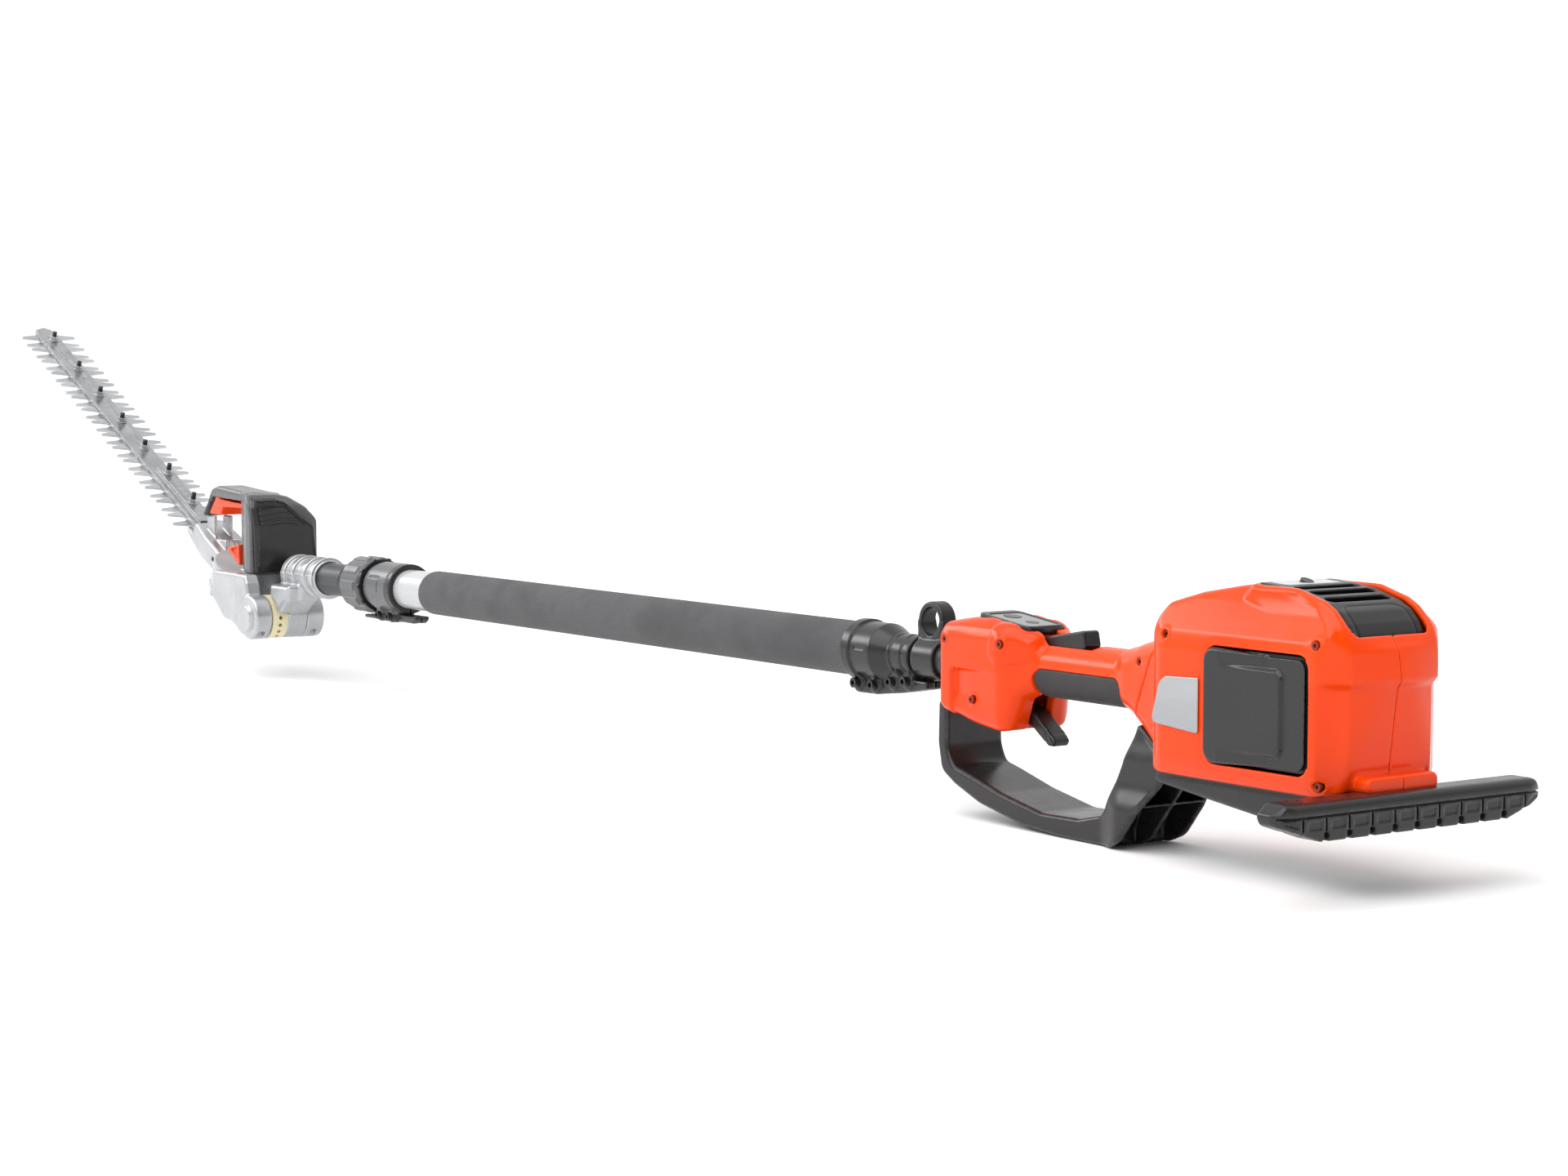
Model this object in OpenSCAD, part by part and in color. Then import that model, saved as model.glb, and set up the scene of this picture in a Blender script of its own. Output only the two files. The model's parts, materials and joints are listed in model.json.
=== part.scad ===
// Cordless pole hedge trimmer with a telescopic pole and a tilting cutter head.
// Millimetres. +X runs forward to the cutter, +Y to the left, +Z up.
// Pieces are drawn about the pole's axis (Y = Z = 0), then shifted so that
// the origin is below the middle of the whole, on the floor.

/* [Pole] */
// Outer diameter of the white outer tube
outer_od = 44; // [43:0.5:44]
// Outer diameter of the foam sleeve
foam_od = 48; // [47:0.5:50]
// Front end of the foam sleeve, from the pole's zero point
foam_front = 752; // [700:1:765]
// Outer diameter of the dark inner tube
inner_od = 38; // [37:0.5:38]

/* [Cutter head] */
// Angle of the blade above the pole's axis
blade_angle = 24.3; // [23:0.1:25]
// Lateral offset of the head's middle plane
head_y = 0; // [-0.5:0.5:0.5]
// Tooth pitch of each blade
tooth_pitch = 40; // [38:0.5:40]
// Teeth on each side of each blade
tooth_count = 15; // [12:1:15]
// Reach of the teeth from the blade's middle line
tooth_reach = 38; // [36:0.5:42]
// Thickness of each blade
blade_t = 2.4; // [2:0.1:2.4]
// Throw of the eccentrics, half the stroke of each blade
blade_throw = 6; // [4:0.5:6]

/* [Power unit] */
// Half width of the rear housing
rear_half = 62; // [61.5:0.5:63]
// Half width of the trigger housing
front_half = 38; // [37.5:0.5:39]
// Radius of the handle
grip_r = 20; // [19.75:0.25:20.5]
// Half width of the guard loop
guard_half = 30; // [27:0.5:33]
// Half width of the rear foot
foot_half = 132; // [125:1:140]
// Lowest level of the guard loop
guard_low = -124.5; // [-128:0.5:-123]

/* [Hidden] */
$fn = 48;

// ends of the whole, used to centre it
x_rear = -704;
tip = 620;
x_front = 1390 + tip * cos(blade_angle);
// hinge of the cutter head
hinge_x = 1120;
hinge_z = -50;
// crank and motor positions along the blade frame
crank_x = -150;
motor_x = crank_x - 37.5;
// battery frame: tilt of the removal axis
batt_tilt = -22.6;
tube_r = outer_od / 2;
slim_r = inner_od / 2;

module place() translate([-(x_rear + x_front) / 2, 0, -guard_low]) children();

// ---- shared helpers ----
// outline in X,Z pushed along Y
module xz(y0, y1) translate([0, y1, 0]) rotate([90, 0, 0]) linear_extrude(y1 - y0) children();
// outline in Y,Z pushed along X
module yz(x0, x1) translate([x0, 0, 0]) rotate([90, 0, 90]) linear_extrude(x1 - x0) children();
// outline in X,Y pushed along Z
module xy(z0, z1) translate([0, 0, z0]) linear_extrude(z1 - z0) children();
// round bars along X, Y and Z
module xcyl(x0, x1, r) translate([x0, 0, 0]) rotate([0, 90, 0]) cylinder(h = x1 - x0, r = r);
module xcone(x0, x1, ra, rb) translate([x0, 0, 0]) rotate([0, 90, 0]) cylinder(h = x1 - x0, r1 = ra, r2 = rb);
module ycyl(x, z, y0, y1, r) translate([x, y0, z]) rotate([-90, 0, 0]) cylinder(h = y1 - y0, r = r);
module zcyl(x, y, z0, z1, r) translate([x, y, z0]) cylinder(h = z1 - z0, r = r);
module box(a, b) translate(a) cube([b[0] - a[0], b[1] - a[1], b[2] - a[2]]);
// outline mirrored about Y = 0
function both(p) = concat(p, [for (i = [len(p) - 1:-1:0]) if (p[i][1] != 0) [p[i][0], -p[i][1]]]);
function both_y(p) = concat(p, [for (i = [len(p) - 1:-1:0]) [-p[i][0], p[i][1]]]);
// blade frame: x along the blade, z square to it
module head_frame() translate([1390, head_y, 45]) rotate([0, -blade_angle, 0]) children();
// battery frame: x forward along its sloping top, z the way it lifts out
module batt_frame() translate([-627, 0, 73.5]) rotate([0, batt_tilt, 0]) children();
// panel frame on top of the trigger housing
module panel_frame() translate([-266, 0, 41.6]) rotate([0, -7, 0]) children();
module left_half() difference() { children(); box([-2000, -400, -400], [3000, 0, 400]); }
module right_half() difference() { children(); box([-2000, 0, -400], [3000, 400, 400]); }
// screw along Y: head top at y, shank running inwards
module screw_y(x, z, y, len, rh, rs) difference() {
    union() { ycyl(x, z, y - 2.6, y, rh); ycyl(x, z, y - len, y - 2, rs); }
    translate([x, y - 1.4, z]) rotate([-90, 0, 0]) cylinder(h = 3, r = rh * 0.5, $fn = 6);
}

// ---- rear housing ----
rear_side = [[-429, -27], [-463, 43], [-484, 52], [-498, 73], [-528, 82], [-577, 91], [-602, 90],
    [-650, 80], [-672, 64], [-683, 50], [-688, 28], [-687, 20], [-680, -38], [-676, -56], [-477, -56]];
rear_plan = both([[-429, 24], [-463, 30], [-490, 56], [-502, rear_half], [-658, rear_half],
    [-674, 52], [-685, 32], [-689, 0]]);
rear_end = both_y([[rear_half, -40], [rear_half, 44], [57, 56], [44, 80], [34, 92]]);
rear_end_full = concat([[54, -56]], rear_end, [[-54, -56]]);
module rear_outer() intersection() {
    xz(-70, 70) polygon(rear_side);
    xy(-80, 120) polygon(rear_plan);
    yz(-720, -400) polygon(rear_end_full);
}
module rear_inner() translate([-575, 0, 12]) scale(0.94) translate([575, 0, -12]) rear_outer();
// screws that join the two halves, and one that bites in the bay
rear_screws = [[-505, 50], [-662, -46]];
bay_screw = [-660, 53];
module panel_outline(g) {
    x0 = -655 - g; x1 = -554 + g; z0 = -40 - g; z1 = 45 + g; r = 9 + g;
    translate([x0 + r, z0]) square([x1 - x0 - 2 * r, z1 - z0]);
    translate([x0, z0 + r]) square([x1 - x0, z1 - z0 - 2 * r]);
    for (x = [x0 + r, x1 - r], z = [z0 + r, z1 - r]) translate([x, z]) circle(r);
}
module bay_hole(g, z0, z1) batt_frame() box([-50.5 - g, -38 - g, z0], [50.5 + g, 38 + g, z1]);
module rear_shell() difference() {
    union() {
        difference() { rear_outer(); rear_inner(); }
        intersection() {
            rear_outer();
            for (p = rear_screws) ycyl(p[0], p[1], -60, 60, 5);
        }
    }
    bay_hole(0.8, -20, 90);
    for (s = [-1, 1]) xz(s > 0 ? 50 : -70, s > 0 ? 70 : -50) panel_outline(0.4);
    translate([0, 0, 7]) xcyl(-500, -420, 13);
    for (p = rear_screws) { ycyl(p[0], p[1], 54.4, 80, 3.3); ycyl(p[0], p[1], -40, 60, 1.65); }
    ycyl(bay_screw[0], bay_screw[1], 56.2, 80, 3.3);
    ycyl(bay_screw[0], bay_screw[1], 40, 60, 1.65);
}
module rear_housing_left() color([1, 0.33, 0.08]) left_half() rear_shell();
module rear_housing_right() color([1, 0.33, 0.08]) right_half() rear_shell();

module side_panel() difference() {
    union() {
        xz(58.2, rear_half + 1.4) panel_outline(0);
        intersection() { xz(56.2, 58.2) panel_outline(4); rear_inner(); }
    }
    xz(rear_half + 0.4, rear_half + 4) polygon([[-634, -24], [-630, -28], [-566, -28], [-562, -24], [-562, 34], [-566, 38], [-630, 38], [-634, 34]]);
}
module side_panel_left() color([0.3, 0.3, 0.3]) side_panel();
module side_panel_right() color([0.3, 0.3, 0.3]) mirror([0, 1, 0]) side_panel();

module battery_bay() color([0.15, 0.15, 0.16]) difference() {
    union() {
        intersection() {
            rear_inner();
            batt_frame() box([-54, -41.2, -101], [54, 41.2, 60]);
        }
        ycyl(bay_screw[0], bay_screw[1], 40, 50, 4.5);
    }
    bay_hole(0.8, -96, 90);
    ycyl(bay_screw[0], bay_screw[1], 39.5, 60, 1.65);
}
module control_board() color([0.1, 0.35, 0.2]) union() {
    box([-530, -42, -44], [-488, 42, -41.6]);
    box([-522, -30, -41.6], [-496, 30, -26]);
    for (x = [-526, -492], y = [-38, 38]) zcyl(x, y, -51.9, -44, 3);
}

// ---- battery pack ----
batt_top = [[50.5, -14], [50.5, -1], [28.7, 6.5], [6, 12.6], [-18.5, 15.3], [-30, 14.4], [-40.3, 9.7], [-47, 4.6], [-50.5, 0], [-50.5, -14]];
module battery_case() color([0.2, 0.2, 0.21]) batt_frame() difference() {
    box([-49.6, -37.4, -96], [49.6, 37.4, -14]);
    for (y = [-24, -8, 8, 24]) box([20, y - 3, -97], [44, y + 3, -80]);
}
module battery_top() color([0.17, 0.17, 0.18]) batt_frame() difference() {
    xz(-38, 38) polygon(batt_top);
    for (i = [0:2]) translate([19 - 15 * i, 0, 8.4 + 2.2 * i]) rotate([0, -8, 0]) box([-4.5, -31, -5], [4.5, 31, 12]);
    box([31, -27, -5], [48.4, 27, 20]);
    zcyl(39.5, 0, -9, 0, 5.4);
}
module indicator_panel() color([0.75, 0.76, 0.77]) batt_frame() difference() {
    intersection() {
        xz(-26.9, 26.9) polygon(batt_top);
        box([31.1, -30, -5], [48.3, 30, 20]);
    }
    zcyl(39.5, 0, -9, 20, 5.4);
}
module indicator_button() color([0.3, 0.31, 0.33]) batt_frame() zcyl(39.5, 0, -5, 4.2, 5);

// ---- trigger housing and handle ----
front_side = [[-197, -33], [-197, 27], [-204, 37], [-234, 43], [-258, 45], [-292, 38], [-320, 29],
    [-320, -12], [-308, -20], [-301, -46], [-278, -50], [-240, -44], [-203, -36]];
front_plan = both([[-197, 28], [-204, 36], [-240, front_half], [-285, front_half], [-305, 26], [-320, 17]]);
front_end = concat([[30, -50]], both_y([[front_half, -36], [front_half, 27], [33, 35], [24, 45.5]]), [[-30, -50]]);
module front_block() intersection() {
    xz(-50, 50) polygon(front_side);
    xy(-60, 60) polygon(front_plan);
    yz(-330, -190) polygon(front_end);
}
module neck() intersection() {
    xz(-40, 40) polygon([[-410, -13], [-429, -27], [-463, 43], [-430, 35], [-410, 27]]);
    xy(-60, 60) polygon(both([[-410, grip_r], [-430, 24], [-463, 30]]));
}
module front_outer() { front_block(); translate([0, 0, 7]) xcyl(-415, -300, grip_r); neck(); }
front_screws = [[-282, 24, 37], [-208, 23, 35], [-246, -24, 37]];
neck_screw = [-438, 22, 24];
trig_x = -264; trig_z = -32;
lock_x = -311; lock_z = 22;
module insert_sector(r0, r1, x0, x1) intersection() {
    translate([0, 0, 7]) difference() { xcyl(x0, x1, r1); xcyl(x0 - 1, x1 + 1, r0); }
    yz(x0, x1) polygon([[6, 9], [40, 11], [40, -40], [3, -40], [3, -2]]);
}
module front_shell() difference() {
    union() {
        difference() {
            front_outer();
            translate([-255, 0, 0]) scale(0.92) translate([255, 0, 0]) front_block();
            translate([0, 0, 7]) xcyl(-480, -285, grip_r - 3.5);
        }
        intersection() {
            front_block();
            union() {
                for (p = front_screws) ycyl(p[0], p[1], -60, 60, 5);
                for (s = [-1, 1]) {
                    ycyl(trig_x, trig_z, s > 0 ? 11 : -40, s > 0 ? 40 : -11, 5.5);
                    ycyl(lock_x, lock_z, s > 0 ? 9.8 : -30, s > 0 ? 30 : -9.8, 5);
                    // rib that grips the switch
                    box([-275, s > 0 ? 7 : -40, -12], [-263, s > 0 ? 40 : -7, -4]);
                }
                // bulkhead that carries the tube's inner end
                box([-234, -40, -48], [-227, 40, 48]);
            }
        }
    }
    xcyl(-236, -180, 15.04);
    box([-337, -10.4, -60], [-272, 10.4, -13.2]);
    panel_frame() box([-33.2, -21.2, -7], [33.2, 21.2, 20]);
    box([-377, -9.3, 10], [-301, 9.3, 60]);
    ycyl(trig_x, trig_z, -33, 33, 2.53);
    ycyl(lock_x, lock_z, -15, 15, 2.58);
    for (m = [0, 1]) mirror([0, m, 0]) insert_sector(grip_r - 1.8, grip_r + 5, -411, -322);
    for (p = front_screws) { ycyl(p[0], p[1], p[2] - 2.7, 60, 3.3); ycyl(p[0], p[1], -26, 60, 1.65); }
    ycyl(neck_screw[0], neck_screw[1], neck_screw[2] - 2.7, 60, 3.3);
    ycyl(neck_screw[0], neck_screw[1], 8, 60, 1.65);
}
module front_housing_left() color([1, 0.33, 0.08]) left_half() front_shell();
module front_housing_right() color([1, 0.33, 0.08]) right_half() front_shell();
module grip_insert_left() color([0.22, 0.22, 0.23]) insert_sector(grip_r - 1.75, grip_r + 0.5, -410.8, -322.2);
module grip_insert_right() color([0.22, 0.22, 0.23]) mirror([0, 1, 0]) grip_insert_left();
module housing_screws() color([0.2, 0.2, 0.2]) {
    for (p = rear_screws) screw_y(p[0], p[1], 57, 90, 3.2, 1.6);
    screw_y(bay_screw[0], bay_screw[1], 58.9, 16, 3.2, 1.6);
    for (p = front_screws) screw_y(p[0], p[1], p[2], 56, 3.2, 1.6);
    screw_y(neck_screw[0], neck_screw[1], neck_screw[2], 14, 3.2, 1.6);
}
module control_panel() color([0.16, 0.17, 0.17]) panel_frame() difference() {
    box([-33, -21, -6], [33, 21, 1.2]);
    box([-29, -17, -1], [24, 17, 4]);
    zcyl(12, 0, -10, 10, 7.4);
    zcyl(-14, 0, -10, 10, 5.4);
}
module power_button() color([0.3, 0.3, 0.31]) panel_frame() zcyl(12, 0, -6, 0.4, 7);
module mode_button() color([0.3, 0.3, 0.31]) panel_frame() zcyl(-14, 0, -6, 0.2, 5);
module trigger() color([0.07, 0.07, 0.08]) difference() {
    union() {
        xz(-9, 9) polygon([[-262, -26], [-285, -27], [-300, -36], [-330, -51], [-332, -54.5], [-329, -57.5], [-322, -57.5], [-286, -46], [-264, -38]]);
        ycyl(trig_x, trig_z, -9, 9, 6);
    }
    ycyl(trig_x, trig_z, -20, 20, 2.56);
    for (i = [0:3]) translate([-300 - 7 * i, 0, -46.6 - 2.6 * i]) rotate([0, -20, 0]) box([-1, -6, -6.6], [1, 6, -4]);
}
module trigger_pin() color([0.7, 0.7, 0.72]) ycyl(trig_x, trig_z, -32.5, 32.5, 2.5);
// torsion spring beside the trigger, drawn as the envelope of its coil
module trigger_spring() color([0.6, 0.6, 0.62]) difference() { ycyl(trig_x, trig_z, 9.3, 10.9, 4.6); ycyl(trig_x, trig_z, 8, 12, 2.9); }
module trigger_switch() color([0.1, 0.1, 0.1]) box([-282, -7, -14], [-256, 7, -1]);
module lockout_lever() color([0.1, 0.1, 0.11]) union() {
    xz(-8.6, 8.6) polygon([[-305, 24], [-306, 30], [-311, 32], [-367, 40], [-369.5, 39], [-372, 27], [-370, 20], [-340, 17], [-311, 17], [-306, 19]]);
    ycyl(lock_x, lock_z, -14, 14, 2.5);
}

// ---- guard, tray and foot ----
guard_outer = [[-193, -30], [-192, -65], [-197, -88], [-215, -98], [-247, -110], [-301, -121], [-350, guard_low],
    [-414, guard_low], [-428, -118], [-444, -98], [-462, -76], [-480, -54]];
guard_inner = [[-436, -26], [-423, -59], [-405, -95], [-399, -101], [-373, -107], [-327, -108], [-274, -98],
    [-233, -87], [-212, -82], [-205, -68], [-205, -30]];
module guard_loop() color([0.27, 0.27, 0.28]) difference() {
    union() {
        xz(-guard_half, guard_half) polygon(concat(guard_outer, guard_inner));
        xz(-40, 40) polygon([[-480, -54], [-436, -26], [-427, -50], [-464, -74]]);
    }
    front_block();
    rear_outer();
}
module under_tray() color([0.25, 0.25, 0.26]) difference() {
    xz(-48, 48) polygon([[-481, -50], [-678, -50], [-678, -80], [-612, -79], [-481, -64]]);
    rear_outer();
}
module rear_foot() color([0.22, 0.22, 0.23]) difference() {
    yz(x_rear, -678) polygon(concat([[84, -81]], both_y([[foot_half, -62], [foot_half, -52], [foot_half - 7, -48]]), [[-84, -81]]));
    for (i = [0:10]) {
        box([x_rear - 1, -116.5 + 22 * i - 8, -61], [x_rear + 6, -116.5 + 22 * i + 5, -53]);
        if (i > 1 && i < 9) box([x_rear - 1, -116.5 + 22 * i - 8, -75], [x_rear + 6, -116.5 + 22 * i + 5, -66]);
    }
    rear_outer();
}

// ---- rear clamp and pole ----
clamp_pos = [[-55, -28], [-80, -28], [-106, -23], [-127, -21]];
module stub_tube() color([0.15, 0.15, 0.16]) difference() { xcyl(-236, -98, 15); xcyl(-240, -90, 12.5); }
module hanger_eye() color([0.2, 0.2, 0.21]) difference() {
    union() {
        xcyl(-168, -138, 18.5);
        ycyl(-153, 32, -8, 8, 17);
        xz(-8, 8) polygon([[-171, 8], [-173, 20], [-170, 32], [-136, 32], [-135, 20], [-137, 8]]);
    }
    xcyl(-200, -100, 15.04);
    ycyl(-153, 32, -20, 20, 12);
}
module shaft_clamp() color([0.2, 0.2, 0.21]) difference() {
    union() {
        xcyl(-59, -47, 27.5);
        xcyl(-87, -58, 25.5);
        xcone(-105, -86.5, 18.5, 25.5);
        xcyl(-134, -104, 18.5);
        xz(-13, 13) polygon([[-48, -15], [-48, -37], [-80, -36.5], [-118, -32], [-152, -26], [-152, -19.5], [-134, -19.5], [-134, -10]]);
    }
    xcyl(-88, -20, tube_r + 0.04);
    xcyl(-150, -60, 15.04);
    box([-160, -1.2, -60], [-20, 1.2, -10]);
    for (p = clamp_pos) { ycyl(p[0], p[1], -20, 20, 2.55); ycyl(p[0], p[1], 13, 40, 4.8); }
}
module clamp_screws() color([0.1, 0.1, 0.1]) for (p = clamp_pos) difference() {
    union() { ycyl(p[0], p[1], 13, 18, 4.4); ycyl(p[0], p[1], -12.5, 13.5, 2.5); }
    translate([p[0], 15, p[1]]) rotate([-90, 0, 0]) cylinder(h = 4, r = 2.4, $fn = 6);
}
module outer_tube() color([0.9, 0.91, 0.92]) difference() { xcyl(-86, 850, tube_r); xcyl(-90, 860, tube_r - 2); }
module foam_sleeve() color([0.25, 0.25, 0.26]) difference() { xcyl(-46, foam_front, foam_od / 2); xcyl(-60, 800, tube_r + 0.04); }
lock_scr = [840, 866];
module lock_socket() color([0.28, 0.28, 0.29]) difference() {
    union() {
        xcyl(815, 881, 28);
        xcyl(880, 925, 24);
        box([828, -13, -38], [878, 13, -18]);
        box([788, -9, -37], [829, 9, -29]);
        box([870, -6, -38], [918, 6, -34]);
    }
    xcyl(800, 851, tube_r + 0.04);
    xcyl(840, 930, 20.55);
    box([780, -1.2, -60], [881.5, 1.2, -15]);
    for (x = lock_scr) ycyl(x, -31.5, -20, 20, 2.55);
}
module lock_screws() color([0.1, 0.1, 0.1]) for (x = lock_scr) difference() {
    union() { ycyl(x, -31.5, 13, 17.5, 4.4); ycyl(x, -31.5, -12.5, 13.5, 2.5); }
    translate([x, 15, -31.5]) rotate([-90, 0, 0]) cylinder(h = 4, r = 2.4, $fn = 6);
}
module lock_collet() color([0.85, 0.85, 0.8]) difference() {
    xcyl(884, 922, 20.5);
    xcyl(880, 930, slim_r + 0.08);
    box([870, -1.5, 10], [914, 1.5, 30]);
}
module coil_cable() color([0.06, 0.06, 0.06]) xcyl(-150, 1030, 9);
module twist_collar() color([0.33, 0.33, 0.34]) difference() {
    union() {
        xcyl(884, 934, 30.5);
        for (i = [0:9]) rotate([36 * i, 0, 0]) translate([0, 0, 27.9]) xcyl(886, 934, 4.5);
        xcone(934, 957, 29, 21.5);
    }
    xcyl(880, 927, 24.4);
    xcyl(900, 970, 19.5);
}

// ---- sliding part of the pole ----
module inner_tube() color([0.2, 0.2, 0.21]) difference() {
    xcyl(-60, 1096, slim_r);
    xcyl(-70, 1100, slim_r - 2);
    for (s = [-1, 1]) box([-20, s > 0 ? slim_r - 0.7 : -slim_r - 2, -6], [1016, s > 0 ? slim_r + 2 : -slim_r + 0.7, 6]);
}
module glide_bush() color([0.8, 0.8, 0.75]) difference() { xcyl(-58, -28, tube_r - 2.06); xcyl(-70, 0, slim_r + 0.03); }
module knuckle() color([0.75, 0.75, 0.76]) difference() {
    union() {
        xcyl(1019, 1112, 22.4);
        xcone(1112, 1118, 22.4, 18);
        for (x = [1021, 1043, 1073, 1096]) xcyl(x, x + 10, 24.4);
        xz(-4.9, 20) polygon([[1056, -8], [1112, -8], [1118, -20], [1138, -34], [1138, -52], [1098, -52], [1080, -38], [1062, -26]]);
        ycyl(hinge_x, hinge_z, -4.9, 20, 26);
    }
    xcyl(1000, 1097, slim_r + 0.03);
    ycyl(hinge_x, hinge_z, -40, 40, 8.05);
}
module index_ring() color([0.93, 0.88, 0.65]) difference() {
    ycyl(hinge_x, hinge_z, 20, 39, 26.2);
    ycyl(hinge_x, hinge_z, 0, 40, 8.05);
    for (a = [0:17]) translate([hinge_x, 29.5, hinge_z]) rotate([0, -90 + 20 * a, 0]) zcyl(0, 0, 18, 40, 2.4);
}

// ---- cutter head ----
module hinge_axle() color([0.55, 0.55, 0.57]) union() {
    ycyl(hinge_x, hinge_z, -29, 58, 8);
    ycyl(hinge_x, hinge_z, -32, -28, 12);
}
cheek = [[1120, -76], [1150, -72], [1196, -44], [1236, -30], [1226, 0], [1136, 0], [1130, -10], [1126, -24]];
module guide_solid() head_frame() xy(5.4, 9.4) polygon([[-56, 12], [-20, 12], [-12, 16], [588, 16], [604, 12], [612, 0], [604, -9], [588, -11], [-56, -11]]);
module case_outer() {
    head_frame() {
        zcyl(crank_x, 0, -9, 24, 46);
        zcyl(motor_x, 0, 4, 46, 29);
        xz(-25, 25) polygon([[-150, -9], [-60, -13], [0, -11], [8, -8], [8, -0.6], [-16, -0.6], [-16, 20], [-26, 27], [-150, 27]]);
        zcyl(0, 0, -26, -8, 7.5);
        zcyl(0, 0, -26, -21, 9.5);
    }
    xz(39.4, 60) polygon(cheek);
    xz(-28, -5.3) polygon(cheek);
    ycyl(hinge_x, hinge_z, 39.4, 64, 26);
    ycyl(hinge_x, hinge_z, -28, -5.3, 26);
    // pedestal below the front of the handle
    xz(head_y - 13, head_y + 13) polygon([[1290, 22], [1290, 61.8], [1346, 61.8], [1346, 46]]);
    // cross block between the cheeks, which guides the index pin
    xz(-28, 60) polygon([[1158, -62], [1200, -56], [1236, -30], [1226, 0], [1158, 0]]);
}
// bottom rim: screws sit at its corners
rim_r = 44.2;
module rim_spots() translate([crank_x, 0, 0]) for (a = [0:4]) rotate([0, 0, 18 + 72 * a]) translate([rim_r, 0, 0]) children();
module gear_case() color([0.74, 0.74, 0.75]) difference() {
    case_outer();
    head_frame() {
        zcyl(crank_x, 0, -20, 16, 42.5);
        zcyl(motor_x, 0, 6, 17, 10.6);
        zcyl(crank_x, 0, 10, 22.5, 11.02);
        zcyl(motor_x, 0, 10, 60, 4.6);
        zcyl(motor_x, 0, 39, 60, 9.02);
        zcyl(motor_x, 0, 46, 70, 26.5);
        box([-150, -25.2, -0.5], [-90, 25.2, 5.9]);
        box([-120, -13.5, -0.5], [20, 13.5, 5.9]);
        box([-34, -18.5, -0.5], [20, 18.5, 5.9]);
        box([-16.2, -30, -0.5], [60, 30, 40]);
        rim_spots() zcyl(0, 0, -12, -2.5, 1.25);
        translate([crank_x, 0, -17]) rotate([0, 0, 18]) cylinder(h = 8, r = 48.8, $fn = 10);
    }
    guide_solid();
    ycyl(hinge_x, hinge_z, -60, 58.5, 8.02);
    translate([0, 29.5, hinge_z]) xcyl(1140, 1196, 2.28);
}
module gear_cover() color([0.72, 0.72, 0.73]) head_frame() difference() {
    union() {
        translate([crank_x, 0, -15]) rotate([0, 0, 18]) cylinder(h = 6, r = 48.5, $fn = 10);
        zcyl(crank_x, 0, -10, -3, 14);
    }
    zcyl(crank_x, 0, -9.2, 0, 11.02);
    zcyl(crank_x, 0, -12.5, 0, 6);
    rim_spots() zcyl(0, 0, -20, 0, 1.25);
}
module cover_screws() color([0.3, 0.3, 0.31]) head_frame() rim_spots() { zcyl(0, 0, -17, -15, 2.6); zcyl(0, 0, -15.5, -3, 1.2); }
shroud_side = [[1143, 0.2], [1143, 62], [1149, 82], [1162, 94], [1180, 98], [1222, 99.5], [1222, 12], [1208, 0.2]];
shroud_plan = [[1143, -44], [1143, 46], [1158, 46], [1210, 27], [1222, 21], [1222, -21], [1210, -27], [1158, -44]];
// seen from behind, the top falls away on the right
shroud_end = [[46, -5], [46, 88], [38, 97], [24, 100.5], [2, 97], [-13, 92], [-31, 79], [-45, 62], [-45, -5]];
cover_end = [[41, -5], [42, 60], [44, 80], [41, 91], [9, 91], [-2, 88], [-24, 67], [-37, 57], [-40.5, 19], [-40.5, -5]];
lever_x = 1308; lever_z = 90;
module shroud_body() intersection() {
    xz(-60, 70) polygon(shroud_side);
    xy(-20, 150) polygon(shroud_plan);
    yz(1100, 1260) polygon(shroud_end);
}
module head_shroud() color([0.4, 0.4, 0.41]) difference() {
    union() {
        shroud_body();
        xz(head_y - 20, head_y + 20) polygon([[1206, 95], [1300, 101], [1318, 97], [1330, 82], [1348, 62], [1342, 62], [1326, 81], [1314, 86], [1206, 82]]);
    }
    translate([1182, 1, 48]) scale(0.92) translate([-1182, -1, -48]) shroud_body();
    box([1130, -38, 5], [1160, 40, 90]);
    // channel for the release lever
    xz(head_y - 16.4, head_y + 16.4) polygon([[1225, 60], [1225, 92], [1296, 92], [1298, 95.5], [1316, 95.5], [1322, 82], [1340, 60]]);
    ycyl(lever_x, lever_z, head_y - 18.5, head_y + 18.5, 2.56);
    case_outer();
    head_frame() zcyl(motor_x, 0, 30, 110, 27);
    xz(29.4, 60) polygon([[1190, -4], [1190, 40], [1240, 40], [1240, -4]]);
}
module motor_cover() color([0.17, 0.17, 0.18]) difference() {
    union() {
        intersection() {
            xz(-60, 60) polygon([[1138, 1], [1138, 60], [1143, 81], [1150, 88], [1142.8, 62], [1142.8, 1]]);
            yz(1100, 1200) polygon(cover_end);
        }
        box([1142.8, -37.6, 5.4], [1146, 39.6, 55]);
    }
    for (i = [0:3]) box([1130, -19 + 5 * i, 66 + 4 * i], [1160, 34 - 2 * i, 67.6 + 4 * i]);
    head_frame() zcyl(motor_x, 0, 30, 110, 27);
}
module motor_stator() color([0.35, 0.2, 0.12]) head_frame() difference() {
    zcyl(motor_x, 0, 46, 92, 25.5);
    zcyl(motor_x, 0, 40, 84, 16);
    zcyl(motor_x, 0, 40, 100, 4.6);
    zcyl(motor_x, 0, 85, 100, 9.02);
}
module bearing(x, z0, z1, ro, ri) difference() { zcyl(x, 0, z0, z1, ro); zcyl(x, 0, z0 - 1, z1 + 1, ri); }
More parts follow.
